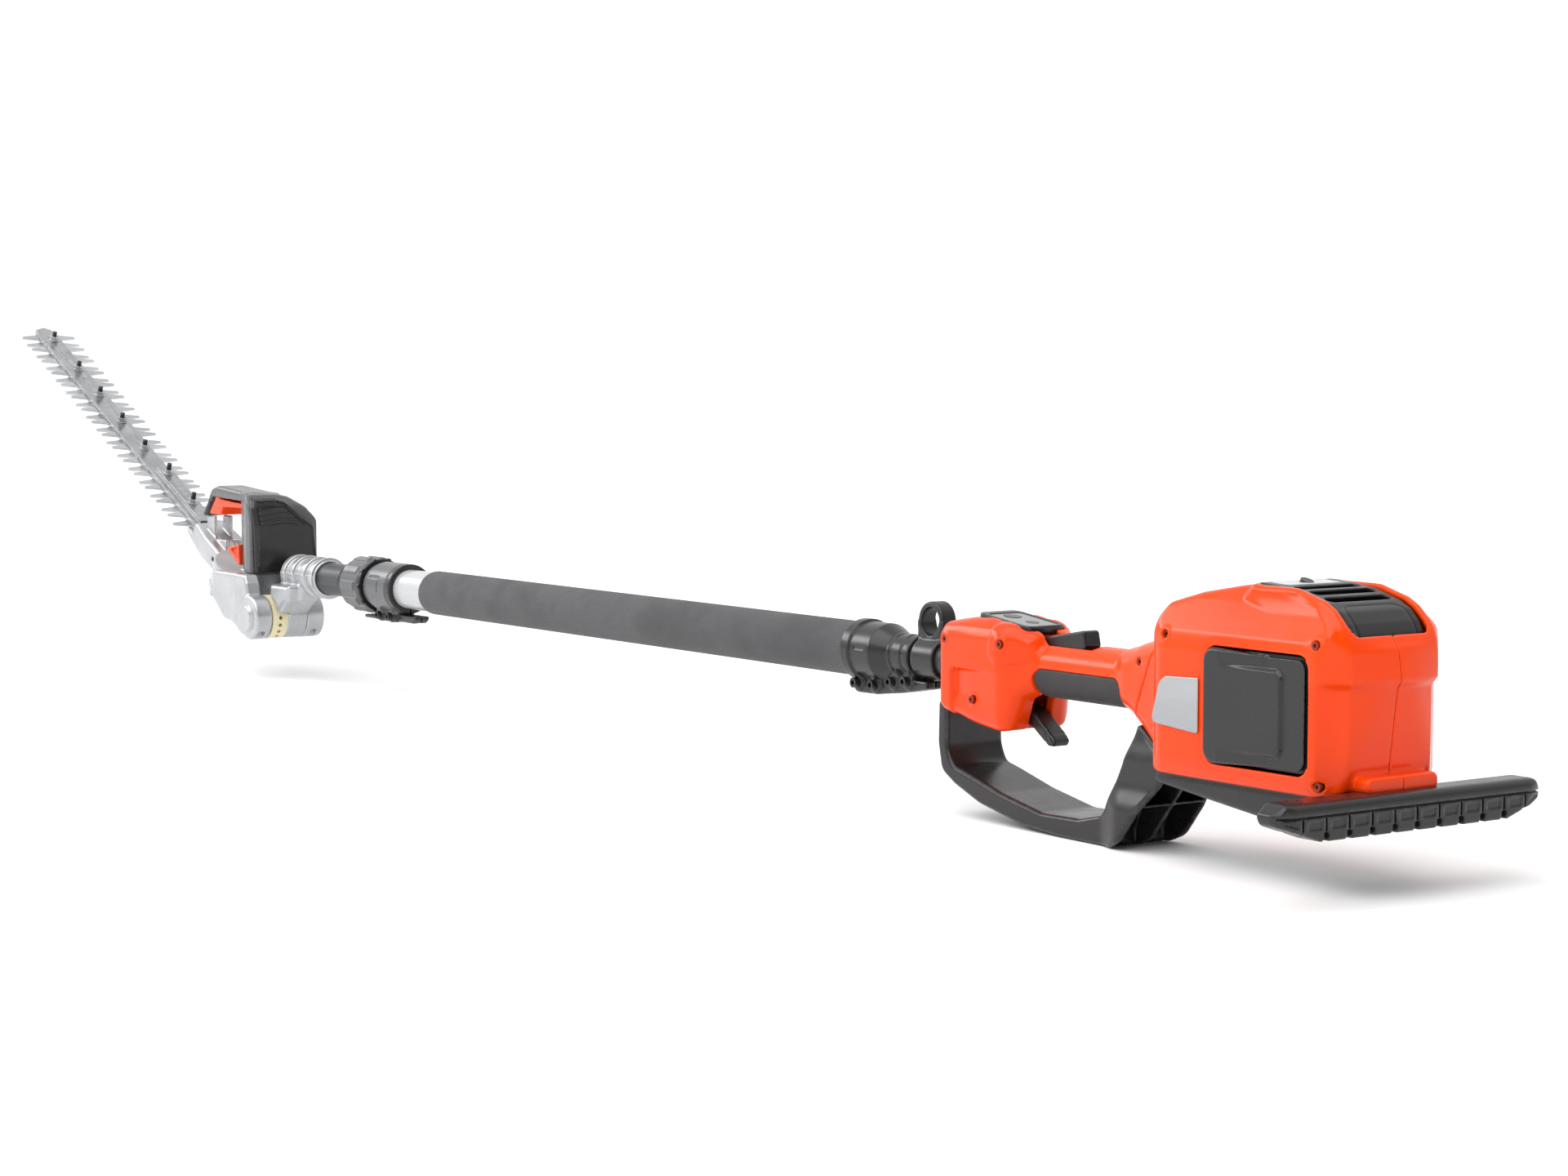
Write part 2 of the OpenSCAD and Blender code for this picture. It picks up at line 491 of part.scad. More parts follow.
module bearings() color([0.6, 0.6, 0.63]) head_frame() {
    bearing(crank_x, -9.2, -3.2, 11, 4.05);
    bearing(crank_x, 16.2, 22.4, 11, 4.05);
    bearing(motor_x, 39.2, 45, 9, 4.05);
    bearing(motor_x, 85.2, 91, 9, 4.05);
}
module release_lever() color([1, 0.3, 0.08]) union() {
    xz(head_y - 15.8, head_y + 15.8) polygon([[1227, 75.5], [1227, 80.5], [1262, 82], [1298, 84.5], [1302, 90], [1304, 93.5], [1312, 93.5], [1314, 90],
        [1315, 83.5], [1320, 79.5], [1334.5, 64.4], [1296, 64.4], [1290, 74]]);
    ycyl(lever_x, lever_z, head_y - 18, head_y + 18, 2.5);
}
module release_link() color([1, 0.42, 0.15]) difference() {
    xz(30, 36) polygon([[1197, 6], [1200, 33], [1236, 27]]);
    xz(33.5, 60) polygon([[1201, 14], [1203, 29.5], [1225, 26]]);
}
module index_pin() color([0.7, 0.7, 0.72]) translate([0, 29.5, hinge_z]) xcyl(1147, 1188, 2.2);

// gear outline: n teeth, root and tip radius, half widths there, first tooth's angle
function gear_pts(n, rr, rt, hr, ht, a0) = [for (i = [0:n - 1]) let (a = a0 + 360 * i / n, d = 57.2958)
    for (k = [[rr, -hr / rr], [rt, -ht / rt], [rt, ht / rt], [rr, hr / rr]]) [k[0] * cos(a + k[1] * d), k[0] * sin(a + k[1] * d)]];
module motor_rotor() color([0.45, 0.45, 0.47]) head_frame() {
    zcyl(motor_x, 0, 50, 82, 15.4);
    zcyl(motor_x, 0, 6.6, 91, 4);
}
module motor_pinion() color([0.6, 0.6, 0.6]) head_frame() difference() {
    translate([motor_x, 0, 8]) linear_extrude(8) polygon(gear_pts(10, 5.6, 8.7, 1.25, 0.5, 0));
    zcyl(motor_x, 0, 0, 30, 4.02);
}
module crank_gear() color([0.6, 0.6, 0.6]) head_frame() union() {
    translate([crank_x, 0, 8.2]) linear_extrude(7) polygon(gear_pts(40, 28.4, 31.2, 1.3, 0.6, 4.5));
    zcyl(crank_x, blade_throw, 2.66, 5.6, 11.5);
    zcyl(crank_x, -blade_throw, -0.3, 2.62, 11.5);
    zcyl(crank_x, 0, -8.8, 21.5, 4);
    zcyl(crank_x, 0, 5, 8.3, 9);
    zcyl(crank_x, 0, 2, 3, 5.4);
}

// ---- blades ----
bolt_x = [41, 127, 212, 297, 382, 467, 568];
tooth_first = 8;
module blade_flat(first) difference() {
    union() {
        polygon(both([[-28 + crank_x, 22], [28 + crank_x, 22], [36 + crank_x, 12], [-22, 12], [-12, 15], [598, 15], [614, 10], [tip, 0]]));
        // each tooth pair is one outline running right across the bar
        for (i = [0:tooth_count - 1]) translate([first + tooth_pitch * i, 0])
            polygon([[-2, tooth_reach], [2, tooth_reach], [6, 20], [9, 14], [9, -14], [6, -20],
                [2, -tooth_reach], [-2, -tooth_reach], [-6, -20], [-9, -14], [-9, 14], [-6, 20]]);
    }
    translate([crank_x - 24, -18]) square([48, 36]);
    for (x = bolt_x) {
        translate([x - 6.5, -3.6]) square([13, 7.2]);
        for (e = [-6.5, 6.5]) translate([x + e, 0]) circle(3.6);
    }
}
module upper_blade() color([0.7, 0.71, 0.72]) head_frame() translate([0, 0, 2.7]) linear_extrude(blade_t) blade_flat(tooth_first + tooth_pitch / 2);
module lower_blade() color([0.62, 0.63, 0.64]) head_frame() linear_extrude(blade_t) blade_flat(tooth_first);
module blade_guide() color([0.78, 0.78, 0.79]) difference() {
    union() {
        guide_solid();
        head_frame() box([-10, -11, 9.4], [146, 9, 14]);
    }
    head_frame() for (x = bolt_x) zcyl(x, 0, 0, 30, 3.02);
}
module blade_bolts() color([0.15, 0.15, 0.15]) head_frame() for (i = [0:6]) {
    zcyl(bolt_x[i], 0, -4.4, -0.4, 6);
    zcyl(bolt_x[i], 0, -1, i < 2 ? 28.5 : 22, 3);
}
module blade_nuts() color([0.5, 0.5, 0.5]) head_frame() for (i = [0:6]) {
    z = i < 2 ? 14 : 9.4;
    difference() {
        union() { translate([bolt_x[i], 0, z + 1.4]) cylinder(h = 5.6, r = 5.8, $fn = 6); zcyl(bolt_x[i], 0, z, z + 1.5, 6.6); }
        zcyl(bolt_x[i], 0, z - 1, z + 12, 3.02);
    }
}

place() rear_housing_left();
place() rear_housing_right();
place() side_panel_left();
place() side_panel_right();
place() battery_bay();
place() control_board();
place() front_housing_left();
place() front_housing_right();
place() grip_insert_left();
place() grip_insert_right();
place() control_panel();
place() trigger_pin();
place() trigger_spring();
place() trigger_switch();
place() housing_screws();
place() guard_loop();
place() under_tray();
place() rear_foot();
place() stub_tube();
place() hanger_eye();
place() shaft_clamp();
place() clamp_screws();
place() outer_tube();
place() foam_sleeve();
place() lock_socket();
place() lock_screws();
place() lock_collet();
place() coil_cable();
place() battery_case();
place() battery_top();
place() indicator_panel();
place() indicator_button();
place() power_button();
place() mode_button();
place() trigger();
place() lockout_lever();
place() twist_collar();
place() inner_tube();
place() glide_bush();
place() knuckle();
place() index_ring();
place() hinge_axle();
place() gear_case();
place() gear_cover();
place() cover_screws();
place() head_shroud();
place() motor_cover();
place() motor_stator();
place() bearings();
place() blade_guide();
place() blade_bolts();
place() blade_nuts();
place() release_lever();
place() release_link();
place() index_pin();
place() motor_rotor();
place() motor_pinion();
place() crank_gear();
place() upper_blade();
place() lower_blade();
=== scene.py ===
import json
import math
import bpy
import numpy as np
from mathutils import Matrix


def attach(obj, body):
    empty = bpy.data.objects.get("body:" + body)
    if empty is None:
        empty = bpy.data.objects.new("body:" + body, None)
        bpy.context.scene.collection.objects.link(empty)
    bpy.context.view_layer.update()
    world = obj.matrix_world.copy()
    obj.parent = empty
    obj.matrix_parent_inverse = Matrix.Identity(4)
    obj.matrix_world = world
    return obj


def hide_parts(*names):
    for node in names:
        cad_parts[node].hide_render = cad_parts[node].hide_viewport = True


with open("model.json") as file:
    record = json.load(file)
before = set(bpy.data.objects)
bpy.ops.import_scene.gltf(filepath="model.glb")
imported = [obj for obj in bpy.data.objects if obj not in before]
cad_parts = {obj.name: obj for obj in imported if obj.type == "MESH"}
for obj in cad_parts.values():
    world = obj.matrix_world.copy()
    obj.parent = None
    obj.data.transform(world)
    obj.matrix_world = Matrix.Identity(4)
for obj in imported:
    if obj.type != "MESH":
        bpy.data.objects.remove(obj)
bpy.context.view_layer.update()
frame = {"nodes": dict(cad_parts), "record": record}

NODES = frame["nodes"]
BODY = {n: b for b, ns in frame["record"]["behaviour"]["bodies"].items() for n in ns}
# Pieces are drawn in the pole's own axes, in millimetres, then moved into the row frame in metres.
SHIFT = np.array([-625.535, 0.0, 124.5])

# ------------------------------------------------------------------ camera and stage
cam_data = bpy.data.cameras.new("camera")
cam_data.lens = 67.5
cam_data.sensor_width = 36.0
cam_data.sensor_fit = "HORIZONTAL"
cam_data.clip_start = 0.05
cam_data.clip_end = 200.0
cam = bpy.data.objects.new("camera", cam_data)
bpy.context.scene.collection.objects.link(cam)
cam.matrix_world = Matrix((
    (-0.5663, 0.0605, -0.8220, -2.75314),
    (-0.8242, -0.0416, 0.5648, 1.5147),
    (0.0, 0.9973, 0.0734, 0.3676),
    (0.0, 0.0, 0.0, 1.0)))
bpy.context.scene.camera = cam
bpy.context.scene.view_settings.view_transform = "Standard"


# ------------------------------------------------------------------ materials
def lin(r, g, b):
    """An sRGB colour, 0 to 255, as linear RGBA."""
    return tuple((v / 255 / 12.92) if v / 255 <= 0.04045 else ((v / 255 + 0.055) / 1.055) ** 2.4 for v in (r, g, b)) + (1.0,)


def surface(name, c1, c2, metal=0.0, rough=(0.35, 0.5), big=14.0, grain=1500.0, grain_mm=0.02, mid=160.0, mid_mm=0.03,
            edge_wear_and_highlight=None, edge_wear_and_highlight_amount=0.5, coat=0.0, coat_rough=0.12, spec=0.5, stretch=(1, 1, 1), sheen=0.0, speck=0.06, cells=None, cells_mm=0.0, extra=None):
    """A procedural material: cloudy colour, speckle, lighter convex edges that serve both as wear and as a painted edge
    highlight, uneven gloss and two sizes of relief.
    """
    m = bpy.data.materials.new(name)
    m.use_nodes = True
    t = m.node_tree
    for n in list(t.nodes):
        t.nodes.remove(n)
    new, link = t.nodes.new, t.links.new
    out = new("ShaderNodeOutputMaterial")
    p = new("ShaderNodeBsdfPrincipled")
    link(p.outputs[0], out.inputs[0])
    tc = new("ShaderNodeTexCoord")
    mp = new("ShaderNodeMapping")
    mp.inputs["Scale"].default_value = stretch
    link(tc.outputs["Object"], mp.inputs[0])
    at = mp.outputs[0]

    def noise(scale, detail=3.0, vec=at):
        n = new("ShaderNodeTexNoise")
        n.inputs["Scale"].default_value = scale
        n.inputs["Detail"].default_value = detail
        link(vec, n.inputs["Vector"])
        return n.outputs["Fac"]

    def ramp(v, a, b, lo=0.0, hi=1.0):
        n = new("ShaderNodeMapRange")
        n.inputs[1].default_value, n.inputs[2].default_value = a, b
        n.inputs[3].default_value, n.inputs[4].default_value = lo, hi
        link(v, n.inputs[0])
        return n.outputs[0]

    def mix(f, a, b, kind="MIX"):
        n = new("ShaderNodeMix")
        n.data_type = "RGBA"
        n.blend_type = kind
        link(f, n.inputs[0])
        for k, v in ((6, a), (7, b)):
            if isinstance(v, tuple):
                n.inputs[k].default_value = v
            else:
                link(v, n.inputs[k])
        return n.outputs[2]

    col = mix(ramp(noise(big), 0.35, 0.65), c1, c2)
    if speck:
        col = mix(ramp(noise(900.0, 2.0), 0.5, 0.75, 0.0, speck), col, tuple(min(1.0, 1.6 * v + 0.02) for v in c1[:3]) + (1.0,))
    # lighter convex edges, broken up by noise spots: partly edge wear, partly a painted highlight along the edges
    if edge_wear_and_highlight:
        g = new("ShaderNodeNewGeometry")
        edge = ramp(g.outputs["Pointiness"], 0.51, 0.60)
        spots = ramp(noise(130.0, 4.0), 0.38, 0.62)
        f = new("ShaderNodeMath")
        f.operation = "MULTIPLY"
        link(edge, f.inputs[0])
        link(spots, f.inputs[1])
        col = mix(ramp(f.outputs[0], 0.0, 1.0, 0.0, edge_wear_and_highlight_amount), col, edge_wear_and_highlight)
    if extra:
        col = extra(t, col, tc, noise, ramp, mix)
    link(col, p.inputs["Base Color"])
    link(ramp(noise(55.0, 4.0), 0.3, 0.7, rough[0], rough[1]), p.inputs["Roughness"])
    p.inputs["Metallic"].default_value = metal
    p.inputs["Specular IOR Level"].default_value = spec
    p.inputs["Coat Weight"].default_value = coat
    p.inputs["Coat Roughness"].default_value = coat_rough
    p.inputs["Sheen Weight"].default_value = sheen
    normal = None

    def relief(h, mm):
        b = new("ShaderNodeBump")
        b.inputs["Strength"].default_value = 1.0
        b.inputs["Distance"].default_value = mm / 1000
        link(h, b.inputs["Height"])
        if normal is not None:
            link(normal, b.inputs["Normal"])
        return b.outputs[0]

    if mid_mm:
        normal = relief(noise(mid, 2.0), mid_mm)
    if cells:
        v = new("ShaderNodeTexVoronoi")
        v.inputs["Scale"].default_value = cells
        link(at, v.inputs["Vector"])
        normal = relief(v.outputs["Distance"], cells_mm)
    if grain_mm:
        normal = relief(noise(grain, 2.0), grain_mm)
    link(normal, p.inputs["Normal"])
    return m


# the edge_wear_and_highlight colours lighten convex edges: wear together with a painted edge highlight
M = {
    "orange_plastic": surface("orange_plastic", lin(236, 67, 3), lin(231, 62, 2), rough=(0.17, 0.23), big=9, edge_wear_and_highlight=lin(255, 118, 50), edge_wear_and_highlight_amount=0.25, speck=0.015, spec=0.25, grain_mm=0.003, mid_mm=0.006),
    "dark_grey_plastic": surface("dark_grey_plastic", lin(33, 33, 34), lin(29, 29, 30), rough=(0.24, 0.31), edge_wear_and_highlight=lin(112, 112, 114), edge_wear_and_highlight_amount=0.4, grain_mm=0.004, mid_mm=0.006, speck=0.03, spec=0.42),
    "mid_grey_plastic": surface("mid_grey_plastic", lin(88, 89, 91), lin(81, 82, 84), rough=(0.24, 0.32), edge_wear_and_highlight=lin(150, 150, 150), edge_wear_and_highlight_amount=0.4, grain_mm=0.004, mid_mm=0.006, speck=0.03, spec=0.42),
    "light_grey_plastic": surface("light_grey_plastic", lin(196, 198, 200), lin(186, 188, 191), rough=(0.28, 0.4), edge_wear_and_highlight=lin(225, 225, 225), edge_wear_and_highlight_amount=0.3, grain_mm=0.015),
    "black_plastic": surface("black_plastic", lin(26, 26, 27), lin(21, 21, 22), rough=(0.26, 0.38), edge_wear_and_highlight=lin(76, 76, 76), edge_wear_and_highlight_amount=0.4, grain_mm=0.005, mid_mm=0.006, spec=0.45),
    "cream_plastic": surface("cream_plastic", lin(224, 216, 182), lin(214, 204, 166), rough=(0.36, 0.5), edge_wear_and_highlight=lin(240, 232, 205), edge_wear_and_highlight_amount=0.3),
    "soft_grip": surface("soft_grip", lin(50, 50, 51), lin(43, 43, 44), rough=(0.55, 0.7), grain_mm=0.04, cells=900, cells_mm=0.05, edge_wear_and_highlight=lin(86, 86, 86), edge_wear_and_highlight_amount=0.3, sheen=0.08, spec=0.35),
    "foam": surface("foam", lin(74, 74, 76), lin(62, 62, 64), rough=(0.75, 0.9), grain=2200, grain_mm=0.08, cells=1300, cells_mm=0.08, sheen=0.15, edge_wear_and_highlight=lin(100, 100, 100), edge_wear_and_highlight_amount=0.2, spec=0.3),
    "cable": surface("cable", lin(28, 28, 28), lin(22, 22, 22), rough=(0.45, 0.6)),
    "board": surface("board", lin(22, 84, 50), lin(16, 70, 42), rough=(0.35, 0.5)),
    "white_tube": surface("white_tube", lin(180, 181, 183), lin(173, 174, 176), rough=(0.20, 0.32), coat=0.35, coat_rough=0.08, mid=40, mid_mm=0.02, grain_mm=0.008, speck=0.02, stretch=(0.15, 1, 1)),
    "dark_tube": surface("dark_tube", lin(70, 71, 74), lin(58, 59, 62), metal=0.6, rough=(0.30, 0.45), stretch=(0.06, 1, 1), grain_mm=0.012, mid=260, mid_mm=0.02),
    "cast_matte": surface("cast_matte", lin(170, 171, 173), lin(158, 159, 162), metal=0.15, rough=(0.55, 0.68), big=30, grain=900, grain_mm=0.02, mid=240, mid_mm=0.02, spec=0.2),
    "guide_metal": surface("guide_metal", lin(168, 169, 171), lin(152, 153, 156), metal=0.85, rough=(0.22, 0.32), big=30, edge_wear_and_highlight=lin(232, 232, 232), edge_wear_and_highlight_amount=0.5, grain=900, grain_mm=0.006, mid=240, mid_mm=0.008),
    "cast_silver": surface("cast_silver", lin(184, 185, 187), lin(172, 173, 176), metal=0.62, rough=(0.26, 0.34), big=30, edge_wear_and_highlight=lin(245, 245, 245), edge_wear_and_highlight_amount=0.5, grain=900, grain_mm=0.008, mid=240, mid_mm=0.01),
    "steel": surface("steel", lin(176, 178, 180), lin(150, 152, 155), metal=1.0, rough=(0.24, 0.4), big=60, edge_wear_and_highlight=lin(225, 225, 225), edge_wear_and_highlight_amount=0.4, grain_mm=0.01),
    "blade_steel": surface("blade_steel", lin(192, 193, 195), lin(172, 174, 177), metal=0.9, rough=(0.24, 0.34), big=26, stretch=(1, 0.2, 1), edge_wear_and_highlight=lin(210, 210, 210), edge_wear_and_highlight_amount=0.4, grain=1400, grain_mm=0.008, mid_mm=0.008),
    "dark_steel": surface("dark_steel", lin(58, 58, 60), lin(46, 46, 48), metal=0.9, rough=(0.34, 0.5), edge_wear_and_highlight=lin(140, 140, 140), edge_wear_and_highlight_amount=0.5),
    "stator_iron": surface("stator_iron", lin(108, 66, 40), lin(88, 52, 32), metal=0.7, rough=(0.4, 0.6)),
    "gloss_black": surface("gloss_black", lin(22, 23, 24), lin(18, 19, 20), rough=(0.06, 0.12), coat=0.5, coat_rough=0.04, grain_mm=0.0, mid_mm=0.004),
    # housing screws coloured orange-brown: a painted reflection of the orange housing, darkened as painted shade of the
    # screw recesses
    "screw_painted_orange_reflection": surface("screw_painted_orange_reflection", lin(140, 42, 12), lin(118, 34, 10), metal=0.3, rough=(0.34, 0.5), grain_mm=0.01),
    "label_plate": surface("label_plate", lin(172, 174, 176), lin(158, 160, 163), metal=0.7, rough=(0.30, 0.40), stretch=(0.08, 1, 1), grain_mm=0.012, mid=500, mid_mm=0.008),
    "orange_deep": surface("orange_deep", lin(228, 74, 30), lin(216, 64, 24), rough=(0.34, 0.46), edge_wear_and_highlight=lin(250, 150, 110), edge_wear_and_highlight_amount=0.3),
}

# ------------------------------------------------------------------ distance fields, in mm
def fillet(pts, r, n=4):
    """An outline with each corner rounded to radius r, or to its own radius where r is a list."""
    out, m = [], len(pts)
    for i in range(m):
        p0, p1, p2 = (np.array(pts[j % m], float) for j in (i - 1, i, i + 1))
        rr = r[i] if isinstance(r, (list, tuple)) else r
        a, b = p0 - p1, p2 - p1
        la, lb = np.linalg.norm(a), np.linalg.norm(b)
        a, b = a / la, b / lb
        half = math.acos(float(np.clip(a @ b, -1, 1))) / 2
        if half > 1.555 or rr < 0.02:
            out.append(p1)
            continue
        s = min(rr / math.tan(half), 0.48 * la, 0.48 * lb)
        rr = s * math.tan(half)
        c = p1 + (a + b) / np.linalg.norm(a + b) * (rr / math.sin(half))
        v0, v1 = p1 + a * s - c, p1 + b * s - c
        t0 = math.atan2(v0[1], v0[0])
        dt = (math.atan2(v1[1], v1[0]) - t0 + math.pi) % (2 * math.pi) - math.pi
        out += [c + rr * np.array([math.cos(t0 + dt * k / n), math.sin(t0 + dt * k / n)]) for k in range(n + 1)]
    return [(float(p[0]), float(p[1])) for p in out]


def poly(pts, U, V):
    """Signed distance to a closed outline, negative inside."""
    d2, inside = None, None
    for i in range(len(pts)):
        (a0, a1), (b0, b1) = pts[i], pts[(i + 1) % len(pts)]
        e0, e1 = b0 - a0, b1 - a1
        q = e0 * e0 + e1 * e1
        if q < 1e-12:
            continue
        w0, w1 = U - a0, V - a1
        t = np.clip((w0 * e0 + w1 * e1) / q, 0, 1)
        dd = (w0 - t * e0) ** 2 + (w1 - t * e1) ** 2
        c1, c2, c3 = w1 >= 0, V < b1, e0 * w1 > e1 * w0
        flip = (c1 & c2 & c3) | (~c1 & ~c2 & ~c3)
        d2 = dd if d2 is None else np.minimum(d2, dd)
        inside = flip if inside is None else inside ^ flip
    return np.where(inside, -1.0, 1.0) * np.sqrt(d2)


def rmax(a, b, r):
    """Both at once, with the outer edge rounded to radius r."""
    return np.minimum(np.maximum(a, b), -r) + np.sqrt(np.maximum(a + r, 0) ** 2 + np.maximum(b + r, 0) ** 2)


def rmin(a, b, r):
    """Either, with the inner corner filled to radius r."""
    return -rmax(-a, -b, r)


def cut(a, b, r=0.6):
    return rmax(a, -b, r)


def slab(w, a, b):
    return np.maximum(a - w, w - b)


def rect(U, V, u0, u1, v0, v1, r):
    """A rectangle with round corners."""
    qu = np.abs(U - (u0 + u1) / 2) - (u1 - u0) / 2 + r
    qv = np.abs(V - (v0 + v1) / 2) - (v1 - v0) / 2 + r
    return np.sqrt(np.maximum(qu, 0) ** 2 + np.maximum(qv, 0) ** 2) + np.minimum(np.maximum(qu, qv), 0) - r


def disc(U, V, u, v, r):
    return np.sqrt((U - u) ** 2 + (V - v) ** 2) - r


def step(t):
    t = np.clip(t, 0, 1)
    return t * t * (3 - 2 * t)


def ridge(d, w):
    return np.exp(-(d / w) ** 2)


def nets(fn, lo, hi, h):
    """A closed mesh of fn = 0 by surface nets, its points then moved onto the surface. Returns points and quads."""
    lo = np.array(lo, float) - 2.37 * h
    n = [int(math.ceil((hi[k] + 2.4 * h - lo[k]) / h)) + 1 for k in range(3)]
    ax = [lo[k] + h * np.arange(n[k]) for k in range(3)]
    f = np.broadcast_to(fn(ax[0][:, None, None], ax[1][None, :, None], ax[2][None, None, :]), n).copy()
    for k in range(3):
        e = [slice(None)] * 3
        for side in (0, -1):
            e[k] = side
            f[tuple(e)] = np.maximum(f[tuple(e)], 0.01)
    s = f < 0
    c = np.zeros([v - 1 for v in n], np.uint8)
    corners = [(i, j, k) for i in (0, 1) for j in (0, 1) for k in (0, 1)]
    for i, j, k in corners:
        c += s[i:n[0] - 1 + i, j:n[1] - 1 + j, k:n[2] - 1 + k]
    act = (c > 0) & (c < 8)
    ids = np.full(act.shape, -1, np.int64)
    cells = np.argwhere(act)
    ids[act] = np.arange(len(cells))
    acc, cnt = np.zeros((len(cells), 3)), np.zeros(len(cells))
    for a in range(3):
        u, v = (a + 1) % 3, (a + 2) % 3
        for du in (0, 1):
            for dv in (0, 1):
                o = np.zeros(3, int)
                o[u], o[v] = du, dv
                e = o.copy()
                e[a] = 1
                fa, fb = f[tuple((cells + o).T)], f[tuple((cells + e).T)]
                m = (fa < 0) != (fb < 0)
                q = np.zeros((m.sum(), 3)) + o
                q[:, a] += fa[m] / (fa[m] - fb[m])
                acc[m] += q
                cnt[m] += 1
    pts = lo + h * (cells + acc / cnt[:, None])
    quads = []
    for a in range(3):
        u, v = (a + 1) % 3, (a + 2) % 3
        s0, s1 = [slice(None)] * 3, [slice(None)] * 3
        s0[a], s1[a] = slice(0, -1), slice(1, None)
        x = s[tuple(s0)] != s[tuple(s1)]
        e = np.argwhere(x)
        e = e[(e[:, u] > 0) & (e[:, v] > 0) & (e[:, u] < n[u] - 1) & (e[:, v] < n[v] - 1)]
        q = []
        for du, dv in ((-1, -1), (0, -1), (0, 0), (-1, 0)):
            g = e.copy()
            g[:, u] += du
            g[:, v] += dv
            q.append(ids[tuple(g.T)])
        q = np.stack(q, 1)
        out = s[tuple(e.T)]
        q[~out] = q[~out][:, ::-1]
        quads.append(q)
    quads = np.concatenate(quads)
    g = 0.1 * h
    for _ in range(2):
        x, y, z = pts.T
        d = fn(x, y, z)
        gr = np.stack([fn(x + g, y, z) - d, fn(x, y + g, z) - d, fn(x, y, z + g) - d], 1) / g
        q = np.maximum((gr ** 2).sum(1), 0.25)
        mv = -(d / q)[:, None] * gr
        ln = np.linalg.norm(mv, axis=1)
        mv *= np.minimum(1, 0.45 * h / np.maximum(ln, 1e-9))[:, None]
        pts = pts + 0.9 * mv
    return pts, quads


def put(name, pts, faces, body, mats, nodes=(), pick=None, smooth=True):
    """A mesh object from points in the pole's axes, in mm, that rides on a body and stands for CAD nodes."""
    p = (np.asarray(pts, float) + SHIFT) / 1000
    me = bpy.data.meshes.new(name)
    if isinstance(faces, np.ndarray):
        k = faces.shape[1]
        me.vertices.add(len(p))
        me.vertices.foreach_set("co", p.astype(np.float32).ravel())
        me.loops.add(faces.size)
        me.loops.foreach_set("vertex_index", faces.astype(np.int32).ravel())
        me.polygons.add(len(faces))
        me.polygons.foreach_set("loop_start", (np.arange(len(faces)) * k).astype(np.int32))
        me.update(calc_edges=True)
    else:
        me.from_pydata([tuple(v) for v in p], [], faces)
    me.validate()
    if smooth:
        me.polygons.foreach_set("use_smooth", np.ones(len(me.polygons), bool))
    mats = mats if isinstance(mats, (list, tuple)) else [mats]
    for m in mats:
        me.materials.append(M[m])
    if pick is not None:
        c = np.empty(len(me.polygons) * 3, np.float32)
        me.polygons.foreach_get("center", c)
        c = c.reshape(-1, 3) * 1000 - SHIFT
        me.polygons.foreach_set("material_index", pick(c[:, 0], c[:, 1], c[:, 2]).astype(np.int32))
    me.update()
    o = bpy.data.objects.new(name, me)
    bpy.context.scene.collection.objects.link(o)
    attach(o, body)
    if nodes:
        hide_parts(*nodes)
    return o


def solid(name, fn, lo, hi, h, mats, node=None, body=None, pick=None, to_pole=None):
    pts, quads = nets(fn, lo, hi, h)
    if to_pole:
        pts = to_pole(pts)
    body = body or BODY[node]
    return put(name, pts, quads, body, mats, (node,) if node else (), pick)


# local axes
HX, HY, HZ = 1390.0, 0.0, 45.0
HC, HS = 0.911403, 0.411514


def head_in(X, Y, Z):
    return (X - HX) * HC + (Z - HZ) * HS, Y - HY, -(X - HX) * HS + (Z - HZ) * HC


def head_out(p):
    x, y, z = p.T
    return np.stack([HX + x * HC - z * HS, HY + y, HZ + x * HS + z * HC], 1)


BC, BS = math.cos(math.radians(22.6)), math.sin(math.radians(22.6))


def batt_in(X, Z):
    return (X + 627) * BC + (Z - 73.5) * BS, -(X + 627) * BS + (Z - 73.5) * BC


def batt_out(p):
    x, y, z = p.T
    return np.stack([-627 + x * BC - z * BS, y, 73.5 + x * BS + z * BC], 1)


PC, PS = math.cos(math.radians(7)), math.sin(math.radians(7))


def panel_in(X, Z):
    return (X + 266) * PC + (Z - 41.6) * PS, -(X + 266) * PS + (Z - 41.6) * PC


def panel_out(p):
    x, y, z = p.T
    return np.stack([-266 + x * PC - z * PS, y, 41.6 + x * PS + z * PC], 1)


# ------------------------------------------------------------------ rear housing
RS = fillet([(-407.6, -14.1), (-440, 33.1), (-463, 43), (-484, 52), (-498, 73), (-528, 82), (-577, 91), (-602, 90), (-650, 80), (-672, 64),
             (-683, 50), (-688, 28), (-687, 20), (-680, -38), (-676, -56), (-477, -56), (-429, -27)], 9)
RP = fillet([(-400, -60), (-400, 19), (-429, 24), (-463, 30), (-490, 56), (-502, 62), (-661, 62), (-680, 43), (-687, 18), (-689.5, 0), (-689.5, -60)],
            [1, 1, 14, 14, 14, 12, 9, 5, 4, 2, 1])
RE = fillet([(-60, -56), (54, -56), (62, -40), (62, 40), (58, 54), (46, 78), (38, 92), (-60, 92)], [1, 8, 8, 12, 6, 8, 6, 1])
BT = fillet([(50.5, -14), (50.5, -1), (28.7, 6.5), (6, 12.6), (-18.5, 15.3), (-30, 14.4), (-40.3, 9.7), (-47, 4.6), (-50.5, 0), (-50.5, -14)], [1, 3, 10, 20, 16, 10, 10, 6, 5, 1])


def seam_plane(X, Z):
    return (X + 429) * 0.8996 + (Z + 27) * 0.437


